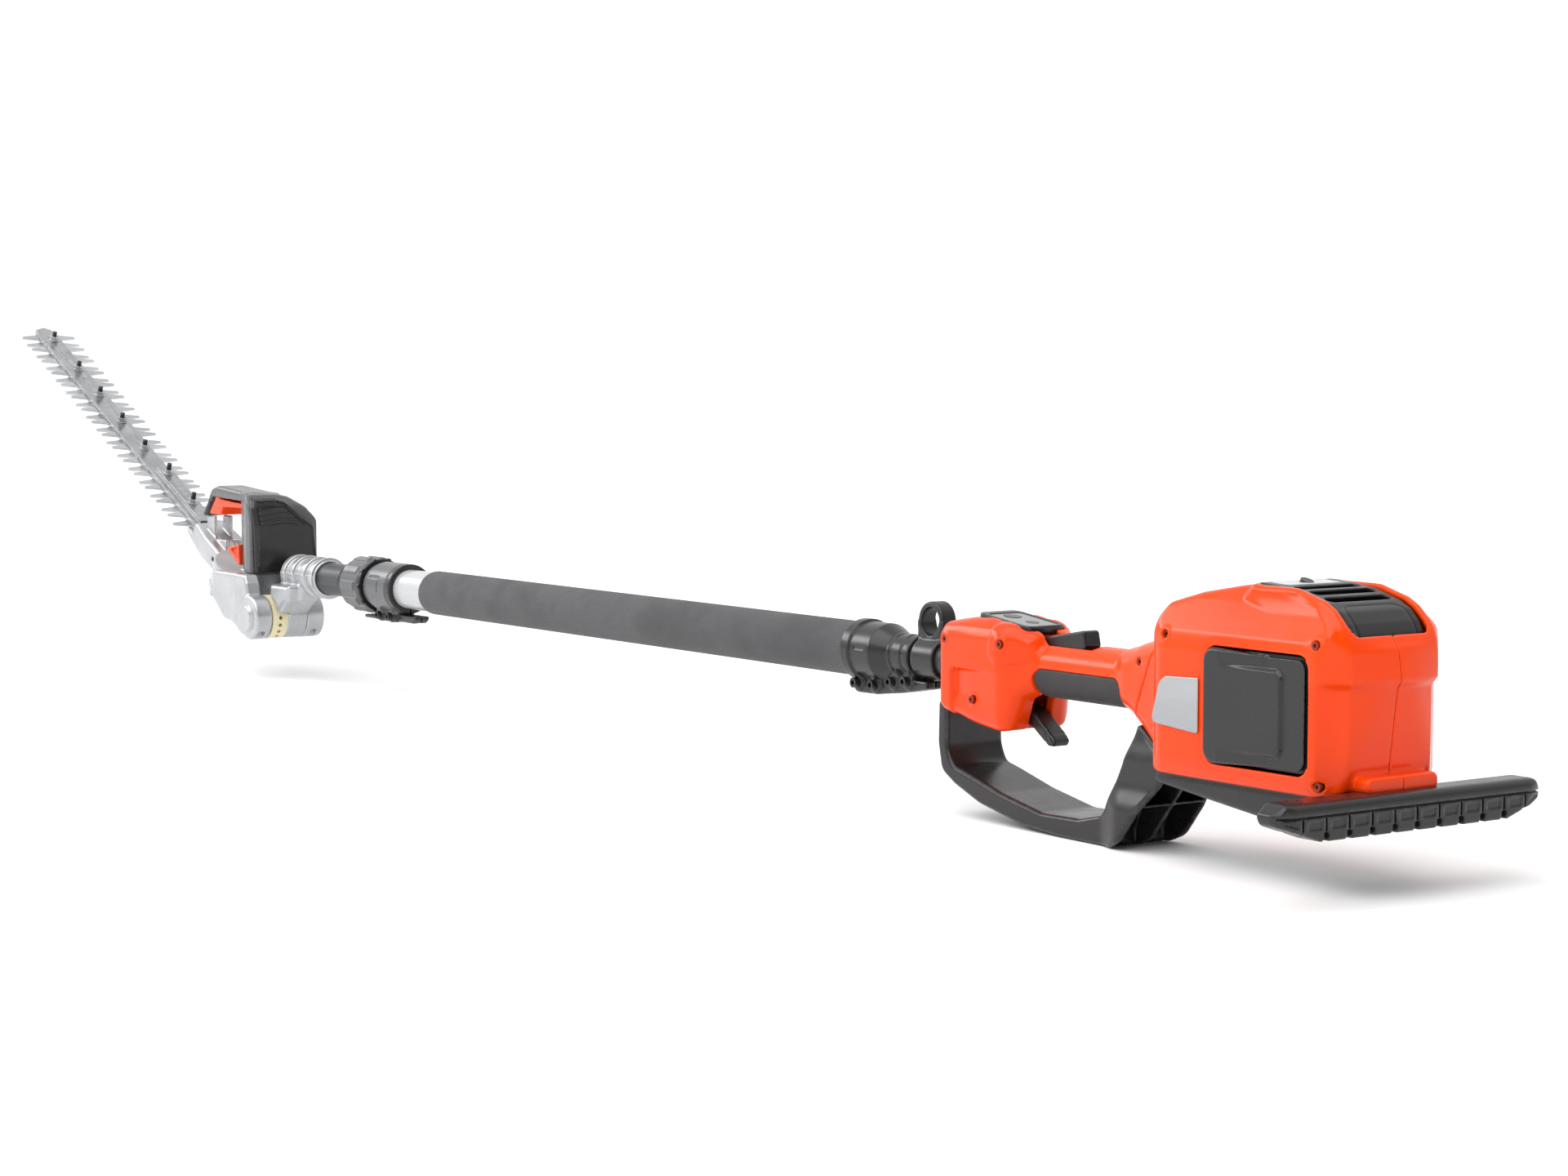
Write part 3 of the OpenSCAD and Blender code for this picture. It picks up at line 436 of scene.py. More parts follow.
def rear_base(X, Y, Z):
    y = np.abs(Y)
    d = rmax(poly(RS, X, Z), poly(RP, X, y), 7 + 9 * step((X + 486) / 44))
    d = rmax(d, poly(RE, y, Z), 3.5)
    # the lower half is set back below a sloping overhang
    d = d + 4.4 * step((28.5 - Z) / 8.5) * step((-652 - X) / 20)
    # raised rim round the battery, running out at the front
    bx, bz = batt_in(X, Z)
    rim = rmax(np.maximum(poly(BT, bx, bz) + 1.2 - 3.6 * step((40 - bx) / 34), -12 - bz), y - 44.5, 3.5)
    return rmin(d, rim, 5)


REAR_SCREWS = [(-505, 50), (-662, -46), (-660, 53), (-438, 22)]


def rear_shell(X, Y, Z, side):
    y = Y * side
    base = rear_base(X, y, Z)
    d = base
    # ledge over the foot
    ledge = rmax(rect(y, Z, -35, 35, -51, -38.5, 5), slab(X, -690, -670), 3)
    d = rmin(d, ledge, 2.5)
    bx, bz = batt_in(X, Z)
    o2 = rect(bx, y, -51.3, 51.3, -38.8, 38.8, 8)
    # window and soft bed for the side panel
    win = rect(X, Z, -655.6, -549.4, -40.6, 45.6, 11.6)
    d = d + 0.6 * ridge(win - 2.5, 2.2) * (y > 40)
    if side > 0:
        for sx, sz in REAR_SCREWS:
            r = disc(X, Z, sx, sz, 0)
            d = d - 0.8 * ridge(r - 4.9, 1.1) * (y > 8)
    d = np.maximum(d, -(base + 5.6))
    d = cut(d, np.maximum(o2, -20 - bz), 1.0)
    d = cut(d, np.maximum(win, 54 - y), 0.7)
    if side > 0:
        for sx, sz in REAR_SCREWS:
            d = cut(d, np.maximum(disc(X, Z, sx, sz, 3.3), 12 - y), 0.6)
    d = rmax(d, seam_plane(X, Z) + 0.3, 1.0)
    return rmax(d, 0.3 - y, 1.1)


for tag, side in (("left", 1), ("right", -1)):
    ylo, yhi = (0, 63.5) if side > 0 else (-63.5, 0)
    solid("rear_half_" + tag, lambda X, Y, Z, s=side: rear_shell(X, Y, Z, s), (-692, ylo, -57), (-425, yhi, 94), 1.35, "orange_plastic", "rear_housing_" + tag)


def side_panel(X, Y, Z, side):
    y = Y * side
    o = rect(X, Z, -654.6, -550.4, -39.6, 44.6, 10.6)
    d = rmax(o, slab(y, 56.5, 63.6), 3.0)
    # a raised field whose margin falls away towards the rear
    field = rect(X, Z, -630, -500, -28, 32, 6)
    return d + 2.8 * np.clip((-566 - X) / 50, 0, 1) * step((field + 1.0) / 3.4) * (y > 58)


for tag, side in (("left", 1), ("right", -1)):
    ylo, yhi = (57, 64) if side > 0 else (-64, -57)
    solid("side_cover_" + tag, lambda X, Y, Z, s=side: side_panel(X, Y, Z, s), (-656, ylo, -41), (-549, yhi, 46), 0.8, "dark_grey_plastic", "side_panel_" + tag)

LABEL = fillet([(-494, -16), (-503, 15), (-510, 19.5), (-545, 21), (-545, -20)], [5, 9, 8, 2, 2])
for tag, side in (("left", 1), ("right", -1)):
    solid("label_plate_" + tag, lambda X, Y, Z, s=side: rmax(poly(LABEL, X, Z), slab(Y * s, 61.4, 62.55), 0.35),
          (-550, 61 if side > 0 else -63, -21), (-493, 63 if side > 0 else -61, 22), 0.6, "label_plate", body="power_unit")

# ------------------------------------------------------------------ front housing and handle
FS = fillet([(-195, -33), (-195, 27), (-203, 37), (-234, 43), (-258, 45), (-288, 38), (-310, 29), (-310, -8), (-296, -20), (-288, -46), (-274, -50), (-240, -44), (-201, -36)], 8)
FP = fillet([(-195, -60), (-195, 28), (-203, 36), (-240, 38), (-278, 38), (-298, 26), (-312, 17), (-312, -60)], 10)
FE = fillet([(-60, -50), (30, -50), (38, -36), (38, 27), (33, 35), (24, 45.5), (-60, 45.5)], 8)
NS = fillet([(-404, -12), (-429, -27), (-460, -45.7), (-495, 57), (-463, 43), (-430, 35), (-404, 26)], 6)
NP = fillet([(-400, -60), (-400, 18), (-430, 24), (-463, 30), (-500, 44), (-500, -60)], 8)
RECESS = fillet([(-224, 1), (-238, -2), (-270, 6), (-281, 3), (-313, -28), (-309, -33), (-232, -37), (-225, -30)], 4)
BOSS = fillet([(-270, 40), (-268, 14), (-276, 8), (-302, 9), (-310, 20), (-306, 44)], 5)


def grip_radius(Y, Z):
    # the handle is a little deeper than wide
    return np.sqrt(Y ** 2 + (Z - np.clip(Z, 2, 7)) ** 2)


def front_base(X, Y, Z):
    y = np.abs(Y)
    block = rmax(rmax(poly(FS, X, Z), poly(FP, X, y), 9), poly(FE, y, Z), 6)
    handle = rmax(grip_radius(Y, Z) - 20, slab(X, -440, -292), 2)
    neck = rmax(poly(NS, X, Z), poly(NP, X, y), 16)
    return rmin(rmin(block, handle, 9), neck, 9), block


def grip_outline(X, y, Z):
    m = np.clip(Z, 2, 7)
    s = np.arctan2(y, m - Z) * 20 + m - 2
    return rect(X, s, -411.8, -306, 3.2, 35, 10)


FRONT_SCREWS = [(-282, 24, 20), (-208, 23, 20), (-246, -24, 20), (-438, 22, 10)]


def front_shell(X, Y, Z, side):
    y = Y * side
    base, block = front_base(X, y, Z)
    d = base
    boss = rmax(block - 1.6, poly(BOSS, X, Z), 1.4)
    d = rmin(d, boss, 1.5)
    # scoop in the side: steep at the front and top, running out to the rear
    rec = rect(X, Z, -300, -216, -50, 1, 6)
    d = d + 6.0 * step((0.6 - rec) / 3.6) * np.clip((X + 284) / 56, 0, 1) * np.clip((Z + 46) / 26, 0, 1) * (y > 22)
    if side > 0:
        for sx, sz, ylow in FRONT_SCREWS[:3]:
            r = disc(X, Z, sx, sz, 0)
            d = d - 0.8 * ridge(r - 4.8, 1.1) * (y > 15)
    d = np.maximum(d, -(base + 9.0))
    px, pz = panel_in(X, Z)
    d = cut(d, np.maximum(rect(px, y, -33.6, 33.6, -21.6, 21.6, 7.5), -7 - pz), 0.8)
    # open below the buttons
    d = np.maximum(d, -np.maximum(rect(px, y, -26, 26, -14, 14, 4), slab(pz, -20, 5)))
    r = grip_radius(Y, Z)
    d = cut(d, np.maximum(grip_outline(X, y, Z) - 0.3, np.maximum(18.0 - r, r - 26)), 0.5)
    d = cut(d, np.maximum(rect(X, y, -337.2, -271.8, -10.5, 10.5, 4), Z + 10), 1.0)
    d = cut(d, np.maximum(rect(X, y, -367.4, -296, -9.4, 9.4, 4), 10 - Z), 1.0)
    d = cut(d, np.maximum(disc(y, Z, 0, 0, 15.2), slab(X, -260, -150)), 1.4)
    if side > 0:
        for sx, sz, ylow in FRONT_SCREWS:
            d = cut(d, np.maximum(disc(X, Z, sx, sz, 3.3), ylow - y), 0.6)
    d = rmax(d, 0.3 - seam_plane(X, Z), 0.7)
    return rmax(d, 0.2 - y, 0.6)


for tag, side in (("left", 1), ("right", -1)):
    ylo, yhi = (0, 41) if side > 0 else (-41, 0)
    solid("front_half_" + tag, lambda X, Y, Z, s=side: front_shell(X, Y, Z, s), (-463, ylo, -50), (-196, yhi, 48), 1.3, "orange_plastic", "front_housing_" + tag)

    def grip(X, Y, Z, s=side):
        r = grip_radius(Y, Z)
        d = rmax(rmax(grip_outline(X, Y * s, Z), r - 20.9, 1.1), 18.3 - r, 0.4)
        return d
    ylo, yhi = (0, 21) if side > 0 else (-21, 0)
    solid("grip_" + tag, grip, (-412, ylo, -20), (-305, yhi, 12), 0.9, "soft_grip", "grip_insert_" + tag)


def panel_plate(x, y, z):
    d = rmax(rect(x, y, -33, 33, -21, 21, 8), slab(z, -6, 0.7), 1.3)
    d = cut(d, np.maximum(rect(x, y, -29, 24, -17, 17, 5), -0.7 - z), 0.6)
    d = cut(d, disc(x, y, 12, 0, 7.3), 0.3)
    return cut(d, disc(x, y, -14, 0, 5.3), 0.3)


def panel_glass(x, y, z):
    d = rmax(rect(x, y, -28.7, 23.7, -16.7, 16.7, 4.8), slab(z, -1.0, 0.1), 0.35)
    d = cut(d, disc(x, y, 12, 0, 7.3), 0.3)
    return cut(d, disc(x, y, -14, 0, 5.3), 0.3)


solid("control_plate", panel_plate, (-33, -21, -6), (33, 21, 2), 0.8, "dark_grey_plastic", "control_panel", to_pole=panel_out)
solid("control_window", panel_glass, (-29, -17, -1.2), (24, 17, 0.4), 0.5, "gloss_black", body="power_unit", to_pole=panel_out)

# ------------------------------------------------------------------ trigger and lockout
TRIG = fillet([(-262, -26), (-280, -27), (-293, -33), (-315, -49), (-319, -54), (-316, -57.8), (-310, -57.5), (-290, -44), (-278, -40), (-264, -38)], [3, 8, 14, 3.5, 3, 3, 4, 14, 10, 4])
LOCK = fillet([(-303, 24), (-304, 29), (-309, 31), (-351, 38.5), (-353.5, 37.5), (-356, 27), (-354, 20), (-338, 17), (-309, 17), (-304, 19)], [2, 2, 2, 2.5, 2, 2, 2, 4, 2, 2])


def trigger(X, Y, Z):
    d = rmax(poly(TRIG, X, Z), np.abs(Y) - 9, 2.6)
    d = d + 0.35 * (0.5 + 0.5 * np.cos((X * 0.9 - Z * 0.45) * 2 * math.pi / 4.2)) * step((-303 - X) / 4) * (Z < -44 + 0.0 * X)
    return cut(d, disc(X, Z, -264, -32, 2.3), 0.3)


def lockout(X, Y, Z):
    d = rmax(poly(LOCK, X, Z), np.abs(Y) - 8.6, 2.0)
    return cut(d, disc(X, Z, -311, 22, 2.3), 0.3)


solid("trigger_blade", trigger, (-333, -9, -58), (-261, 9, -25), 0.8, "black_plastic", "trigger")
solid("lockout_wedge", lockout, (-373, -9, 16), (-304, 9, 41), 0.8, "black_plastic", "lockout_lever")

# ------------------------------------------------------------------ guard loop, tray and foot
GUARD = fillet([(-193, -30), (-192, -65), (-197, -88), (-215, -98), (-247, -110), (-301, -121), (-350, -124.5), (-414, -124.5), (-428, -118), (-444, -98), (-462, -76), (-480, -54),
                (-436, -26), (-423, -59), (-405, -95), (-399, -101), (-373, -107), (-327, -108), (-274, -98), (-233, -87), (-212, -82), (-205, -68), (-205, -30)],
               [1, 30, 12, 12, 60, 60, 60, 9, 20, 30, 30, 2, 2, 30, 8, 8, 30, 40, 60, 30, 10, 20, 1])
CHANNEL = fillet([(-409, -112), (-414, -100), (-431, -64), (-440, -46), (-462, -58), (-505, -70), (-425, -145), (-409, -135)], 4)


def guard(X, Y, Z):
    y = np.abs(Y)
    # wider at the rear leg, which is a channel open to the rear with a rib across
    half = 30 + 7 * step((-398 - X) / 30) * step((-70 - Z) / 25) - 5 * step((Z + 56) / 24) * step((-404 - X) / 20)
    d = rmax(poly(GUARD, X, Z), y - half, 3.5)
    ch = rmax(poly(CHANNEL, X, Z), y - half + 5, 1.5)
    ch = np.maximum(ch, 1.2 - np.abs(Y))
    ch = np.maximum(ch, 1.1 - np.abs(Z + 88))
    d = cut(d, ch, 1.0)
    return np.maximum(d, -124.5 - Z)


solid("guard_band", guard, (-485, -41, -125), (-191, 41, -25), 1.7, "dark_grey_plastic", "guard_loop")

TRAY = fillet([(-481, -50), (-678, -50), (-678, -80), (-612, -79), (-481, -64)], [1, 1, 3, 8, 5])


def tray(X, Y, Z):
    y = np.abs(Y)
    d = rmax(poly(TRAY, X, Z), y - 48, 5)
    d = np.maximum(d, Z + 50.2)
    return d + 0.8 * ridge(Z + 56.5, 1.0)


solid("under_plate", tray, (-679, -48, -81), (-480, 48, -50), 1.5, "dark_grey_plastic", "under_tray")

FOOT = fillet([(-92, -76), (92, -76), (129, -64), (132, -57), (122, -48), (-122, -48), (-132, -57), (-129, -64)], [10, 10, 6, 4, 9, 9, 4, 6])
FOOT_PLAN = fillet([(-677, -10), (-677, 132.5), (-692, 132.5), (-700, 128), (-704, 116), (-704, -10)], [1, 1, 5, 8, 10, 1])


def foot(X, Y, Z):
    # a slab with a broad rounded lip along its top rear edge
    f = poly(FOOT, Y, Z)
    top = rmax(-704 - X, Z + 48, 9)
    d = rmax(rmax(f, np.maximum(poly(FOOT_PLAN, X, np.abs(Y)), X + 678.2), 3), top, 2)
    # tread of blocks: narrow slits between them, a line above and below, and wider notches along the lower edge
    yc = 22.0 * np.round(Y / 22.0)
    yn = 22.0 * (np.floor(Y / 22.0) + 0.5)
    face = -poly(FOOT_PLAN, X, np.abs(Y))
    slit = np.maximum(np.abs(Y - yc) - 1.0, np.maximum(slab(Z, -69, -59), face - 3.6))
    line = np.maximum(np.abs(Z + 58.4) - 0.8, face - 2.2)
    notch = np.maximum(rect(Y - yc, Z, -2.8, 2.8, -90, -69.5, 1), face - 6)
    block = np.maximum(rect(Y - yn, Z, -6.5, 6.5, -67, -61.5, 1.2), face - 1.2)
    d = cut(d, np.maximum(slit, f + 1.5), 0.5)
    d = cut(d, np.maximum(line, f + 2.0), 0.4)
    d = cut(d, np.maximum(block, f + 3.0), 0.4)
    return cut(d, notch, 0.8)


solid("foot_tread", foot, (-705, -133, -82), (-677, 133, -47), 1.2, "dark_grey_plastic", "rear_foot")

# ------------------------------------------------------------------ battery
def batt_top(x, y, z):
    a = np.abs(y)
    d = rmax(poly(BT, x, z), a - 38, 3.5)
    for c in (19, 4, -11):
        d = cut(d, np.maximum(rect(x, y, c - 4.6, c + 4.6, -31, 31, 4.4), 1.5 - z), 1.0)
    d = cut(d, np.maximum(rect(x, y, 30.9, 48.5, -27.1, 27.1, 4), -5 - z), 0.6)
    # a line round the wrap-over end
    return d + 0.6 * ridge(rect(x, y, -60, -23, -29, 29, 9), 0.9) * (z > -2)


solid("battery_cap", batt_top, (-51, -38, -14), (51, 38, 16), 1.0, "black_plastic", "battery_top", to_pole=batt_out)

# ------------------------------------------------------------------ pole fittings
def hanger(X, Y, Z):
    r = np.sqrt(Y ** 2 + Z ** 2)
    d = rmax(r - 18.5, slab(X, -168, -138), 1.5)
    web = rmax(poly(fillet([(-171, 8), (-173, 20), (-170, 32), (-136, 32), (-135, 20), (-137, 8)], 2), X, Z), np.abs(Y) - 8, 2.0)
    eye = rmax(disc(X, Z, -153, 32, 17), np.abs(Y) - 8, 2.2)
    d = rmin(d, rmin(web, eye, 3), 3)
    d = d + 0.7 * ridge(np.abs(Y), 0.5) * (Z < 12)
    d = cut(d, disc(X, Z, -153, 32, 12), 1.6)
    return cut(d, r - 15.1, 0.5)


solid("hanger_ring", hanger, (-173, -19, -19), (-134, 19, 50), 0.9, "dark_grey_plastic", "hanger_eye")

CLAMP = fillet([(-134, 0), (-134, 18.5), (-126, 18.5), (-125.2, 17.5), (-123, 17.5), (-122.2, 18.5), (-111, 18.5), (-110.2, 17.4), (-107.5, 17.4), (-106.7, 18.5), (-104, 18.5), (-86.8, 25.5), (-60, 25.5), (-59, 27.5), (-47, 27.5), (-47, 0)],
                [1, 1.5, 0.3, 0.3, 0.3, 0.3, 0.3, 0.3, 0.3, 0.3, 1, 4, 0.6, 1, 2, 1])
EARS = fillet([(-48, -10), (-48, -37), (-80, -36.5), (-118, -32), (-152, -26), (-152, -19.5), (-134, -19.5), (-134, -5)], [1, 4, 10, 10, 3, 1, 1, 1])
CLAMP_POS = [(-55, -28), (-80, -28), (-106, -23), (-127, -21)]


def clamp(X, Y, Z):
    r = np.sqrt(Y ** 2 + Z ** 2)
    d = poly(CLAMP, X, r)
    ears = rmax(poly(EARS, X, Z), np.abs(Y) - 11, 2)
    for sx, sz in CLAMP_POS:
        ears = rmin(ears, rmax(disc(X, Z, sx, sz, 7.2), np.abs(Y) - 13, 1.5), 2)
    d = rmin(d, ears, 2)
    d = cut(d, np.maximum(rect(X, Z, -80, -66, 3, 6, 1.4), np.minimum(24.3 - Y, 99)), 0.4)
    d = cut(d, np.maximum(np.abs(Y) - 1.2, Z + 10), 0.3)
    d = cut(d, np.maximum(rect(X, Y, -148, -138, -6, 6, 2), Z + 30), 0.5)
    d = cut(d, np.maximum(r - 22.1, -87.5 - X), 0.4)
    for sx, sz in CLAMP_POS:
        d = cut(d, disc(X, Z, sx, sz, 2.2), 0.3)
    return cut(d, r - 15.1, 0.4)


solid("shaft_clamp_body", clamp, (-153, -28, -38), (-46, 28, 28), 1.1, "dark_grey_plastic", "shaft_clamp")

# foam sleeve: a turned tube with fine flutes and rolled ends
def lathe(name, prof, n, body, mat, nodes=(), wave=None):
    """prof is a closed list of (x, r), turned about the pole's axis; wave(x, r, a) gives the radius."""
    m = len(prof)
    a = np.linspace(0, 2 * math.pi, n, endpoint=False)
    pts = []
    for x, r in prof:
        rr = np.full(n, float(r)) if wave is None else wave(x, r, a)
        pts.append(np.stack([np.full(n, float(x)), rr * np.cos(a), rr * np.sin(a)], 1))
    pts = np.concatenate(pts)
    i, j = np.meshgrid(np.arange(m), np.arange(n), indexing="ij")
    i2, j2 = (i + 1) % m, (j + 1) % n
    q = np.stack([i * n + j, i * n + j2, i2 * n + j2, i2 * n + j], -1).reshape(-1, 4)
    return put(name, pts, q, body, mat, nodes)


foam_prof = [(-45.8, 22.3), (-45.9, 23.0), (-45.4, 23.6), (-44.5, 24.0)] + [(x, 24.0) for x in range(-40, 750, 20)] + [(750.5, 24.0), (751.4, 23.6), (751.9, 23.0), (751.8, 22.3)]
foam_prof = foam_prof[::-1]
lathe("foam_grip", foam_prof, 240, BODY["foam_sleeve"], "foam", ("foam_sleeve",), wave=lambda x, r, a: r - (0.16 * (1 + np.cos(a * 60)) if r > 23.8 else 0.0))

SOCK = fillet([(815, 0), (815, 28), (824, 28), (824.8, 26.8), (826.2, 26.8), (827, 28), (872, 28), (873, 26.5), (881, 26.5), (881, 24), (925, 24), (925, 0)],
              [1, 1.5, 0.3, 0.3, 0.3, 0.3, 1.2, 0.3, 0.5, 0.3, 1.5, 1])


def socket(X, Y, Z):
    r = np.sqrt(Y ** 2 + Z ** 2)
    d = poly(SOCK, X, r)
    ears = rmax(rect(X, Z, 828, 878, -38, -10, 4), np.abs(Y) - 11.5, 2)
    for sx in (840, 866):
        ears = rmin(ears, rmax(disc(X, Z, sx, -31.5, 6.6), np.abs(Y) - 13, 1.2), 2)
    tab = rmax(poly(fillet([(788, -29), (829, -29), (829, -37), (794, -37), (788, -33)], 1.5), X, Z), np.abs(Y) - 9, 1.5)
    bar = rmax(rect(X, Z, 870, 918, -38, -34, 1.5), np.abs(Y) - 6, 1.2)
    d = rmin(d, rmin(rmin(ears, tab, 1.5), bar, 1.0), 2)
    # L-shaped groove on the side
    th = np.arctan2(Z, Y) * 28
    groove = np.minimum(rect(X, th, 843, 845.5, -4, 14, 1), rect(X, th, 843, 868, 11.5, 14, 1))
    d = cut(d, np.maximum(groove, 27.0 - r), 0.3)
    d = cut(d, np.maximum(np.abs(Y) - 1.0, Z + 12), 0.3)
    for sx in (840, 866):
        d = cut(d, disc(X, Z, sx, -31.5, 2.2), 0.3)
    d = cut(d, np.maximum(r - 22.1, X - 850), 0.4)
    return cut(d, r - 19.4, 0.4)


solid("lock_socket_body", socket, (787, -29, -39), (926, 29, 29), 1.1, ["mid_grey_plastic", "dark_grey_plastic"], "lock_socket",
      pick=lambda x, y, z: (x < 825.4) | (z < -28.6))

COLL = fillet([(884, 0), (884, 30.4), (890, 30.4), (890.6, 29.4), (892.4, 29.4), (893, 30.2), (933, 30.2), (934, 29.2), (936, 29.2), (957, 21.6), (957, 0)],
              [1, 1, 0.3, 0.3, 0.3, 0.3, 1.0, 0.4, 1.5, 1.2, 1])


def collar(X, Y, Z):
    r = np.sqrt(Y ** 2 + Z ** 2)
    a = np.arctan2(Z, Y)
    lobe = np.cos(10 * a)
    rise = 2.1 * step((lobe + 0.25) / 0.5) * step((X - 894.5) / 3) * step((931.5 - X) / 3)
    rim = 1.5 * step((np.cos(10 * a) - 0.72) / 0.16) * step((890.2 - X) / 0.8)
    d = poly(COLL, X, r - rise - rim)
    d = cut(d, np.maximum(r - 24.5, X - 936), 0.4)
    return cut(d, r - 19.55, 0.5)


solid("twist_collar_body", collar, (883, -33, -33), (958, 33, 33), 1.0, ["mid_grey_plastic", "dark_grey_plastic"], "twist_collar",
      pick=lambda x, y, z: (x > 933.6) | (x < 891.6))

# ------------------------------------------------------------------ knuckle
KN = fillet([(1056, -8), (1112, -8), (1118, -20), (1138, -34), (1138, -52), (1098, -52), (1080, -38), (1062, -26)], 4)
KN2 = fillet([(1060, -10), (1110, -10), (1112, -24), (1096, -34), (1092, -46), (1084, -42), (1064, -28)], 3)
SLEEVE = [(1019, 0), (1019, 21.4), (1021, 21.4)]
for rx in (1021, 1043, 1073, 1096):
    SLEEVE += [(rx, 24.6), (rx + 9, 24.6), (rx + 11, 21.4)] if rx == 1021 else [(rx - 1, 21.4), (rx, 24.6), (rx + 9, 24.6), (rx + 11, 21.4)]
SLEEVE += [(1112, 21.4), (1118, 17.5), (1118, 0)]
SLEEVE = fillet(SLEEVE, 1.1)


def knuckle(X, Y, Z):
    r = np.sqrt(Y ** 2 + Z ** 2)
    d = poly(SLEEVE, X, r)
    d = d - 0.5 * ridge(Z - 3, 1.2) * (Y > 10) * (r > 20)
    nk = rmax(poly(KN, X, Z), slab(Y, -4.9, 20), 4)
    # the neck reaches over the ring
    nk = rmin(nk, rmax(poly(KN2, X, Z), slab(Y, -4.9, 37), 7), 3)
    d = rmin(d, nk, 4)
    d = rmin(d, rmax(disc(X, Z, 1120, -50, 26), slab(Y, -4.9, 19.9), 1.2), 3)
    d = np.maximum(d, -np.maximum(disc(X, Z, 1120, -50, 26.9), slab(Y, 19.95, 60)))
    d = cut(d, disc(X, Z, 1120, -50, 8.1), 0.5)
    return cut(d, np.maximum(r - 19.1, X - 1097), 0.5)


solid("knuckle_casting", knuckle, (1018, -26, -77), (1147, 40, 26), 1.0, "cast_silver", "knuckle")

# ------------------------------------------------------------------ gear case
NECK = fillet([(-150, -9), (-60, -13), (0, -11), (8, -8), (8, -0.6), (-16, -0.6), (-16, 14), (-26, 18), (-150, 18)], [1, 3, 2, 2, 0.5, 0.5, 3, 4, 1])
CHEEK = fillet([(1120, -76), (1150, -72), (1196, -44), (1236, -30), (1226, 0), (1136, 0), (1130, -10), (1126, -24)], [2, 6, 10, 6, 6, 4, 3, 4])
PED = fillet([(1290, 10), (1290, 61.8), (1346, 61.8), (1346, 36)], 1.5)
CROSS = fillet([(1158, -62), (1200, -56), (1236, -30), (1226, 0), (1158, 0)], [3, 8, 6, 4, 3])


def decagon(x, y, r):
    a = np.arctan2(y, x)
    k = math.pi / 5
    b = np.round(a / k) * k
    return np.sqrt(x ** 2 + y ** 2) * np.cos(a - b) - r * math.cos(k / 2)


def gear_case(X, Y, Z):
    x, y, z = head_in(X, Y, Z)
    drum = rmax(disc(x, y, -150, 0, 46), slab(z, -8.9, 24), 3)
    drum = rmax(drum, decagon(x + 150, y, 47.3), 1.5)
    flange = rmax(disc(x, y, -187.5, 0, 29), slab(z, 4, 46), 2)
    neck = rmax(poly(NECK, x, z), np.abs(y) - 25 + 0.10 * np.clip(x + 60, 0, 80), 4)
    stud = rmax(disc(x, y, 0, 0, 7.5), slab(z, -26, -4), 2)
    stud = rmin(stud, rmax(disc(x, y, 0, 0, 9.5), slab(z, -14, -6), 1), 1)
    d = rmin(rmin(drum, neck, 4), stud, 2)
    d = rmin(d, flange, 3)
    ch = np.minimum(rmax(poly(CHEEK, X, Z), slab(Y, 39.4, 58), 4), rmax(poly(CHEEK, X, Z), slab(Y, -28, -5.3), 3))
    d = rmin(d, rmin(ch, rmax(poly(CROSS, X, Z), slab(Y, -27, 57), 3), 3), 4)
    lug = np.minimum(rmax(disc(X, Z, 1120, -50, 26), slab(Y, 39.4, 60.5), 3), rmax(disc(X, Z, 1120, -50, 26), slab(Y, -28, -5.3), 2))
    d = rmin(d, lug, 3)
    # oval boss on the left lug, and small dark slots low in both lugs
    d = rmin(d, rmax(rect(X, Z, 1109, 1131, -66, -36, 11), slab(Y, 52, 64), 1.5), 2)
    d = cut(d, np.maximum(np.maximum(rect(Y, Z, 46, 55, -76, -66, 2), rect(Y, Z, 46, 55, -76, -66, 2)), X - 1113), 0.8)
    d = cut(d, np.maximum(rect(Y, Z, -21, -12, -76, -66, 2), X - 1113), 0.8)
    # a pair of posts below the front of the handle, one on each side, with a clear way behind them
    ped = rmax(poly(PED, X, Z), slab(np.abs(Y), 8.2, 13), 1.5)
    gap = rmax(rect(X, Z, 1270, 1324, 33, 90, 8), np.abs(Y) - 60, 0.5)
    d = rmin(d, cut(ped, gap, 1.5), 2)
    # room for the works
    d = np.maximum(d, -np.maximum(disc(x, y, -150, 0, 42.5), slab(z, -30, 16)))
    d = np.maximum(d, -np.maximum(disc(x, y, -187.5, 0, 10.6), slab(z, 6, 17)))
    d = np.maximum(d, -np.maximum(disc(x, y, -187.5, 0, 9.2), z - 200) - 0 * z)
    d = np.maximum(d, -np.maximum(np.maximum(np.abs(y) - 25.2, slab(x, -150, -90)), slab(z, -0.5, 5.9)))
    d = np.maximum(d, -np.maximum(np.maximum(np.abs(y) - 13.5, slab(x, -120, 20)), slab(z, -0.5, 5.9)))
    d = np.maximum(d, -np.maximum(np.maximum(np.abs(y) - 18.5, slab(x, -34, 30)), slab(z, -0.5, 5.9)))
    d = np.maximum(d, -np.maximum(np.maximum(np.abs(y) - 30, slab(x, -16.2, 60)), slab(z, -0.5, 40)))
    d = np.maximum(d, -np.maximum(slab(z, -60, -9.0), np.sqrt((x + 150) ** 2 + y ** 2) - 49.5))
    d = cut(d, np.maximum(disc(X, Z, 1120, -50, 8.1), Y - 58.4), 0.3)
    d = np.maximum(d, -np.maximum(disc(x, y, -187.5, 0, 26.5), slab(z, 46, 90)))
    d = np.maximum(d, -np.maximum(disc(Y, Z, 29.5, -50, 2.4), slab(X, 1140, 1196)))
    # clear of the knuckle and its ring
    d = np.maximum(d, -np.maximum(disc(X, Z, 1120, -50, 27.2), slab(Y, -5.2, 39.3)))
    d = np.maximum(d, -np.maximum(slab(Y, -5.2, 39.3), X - 1150))
    return d


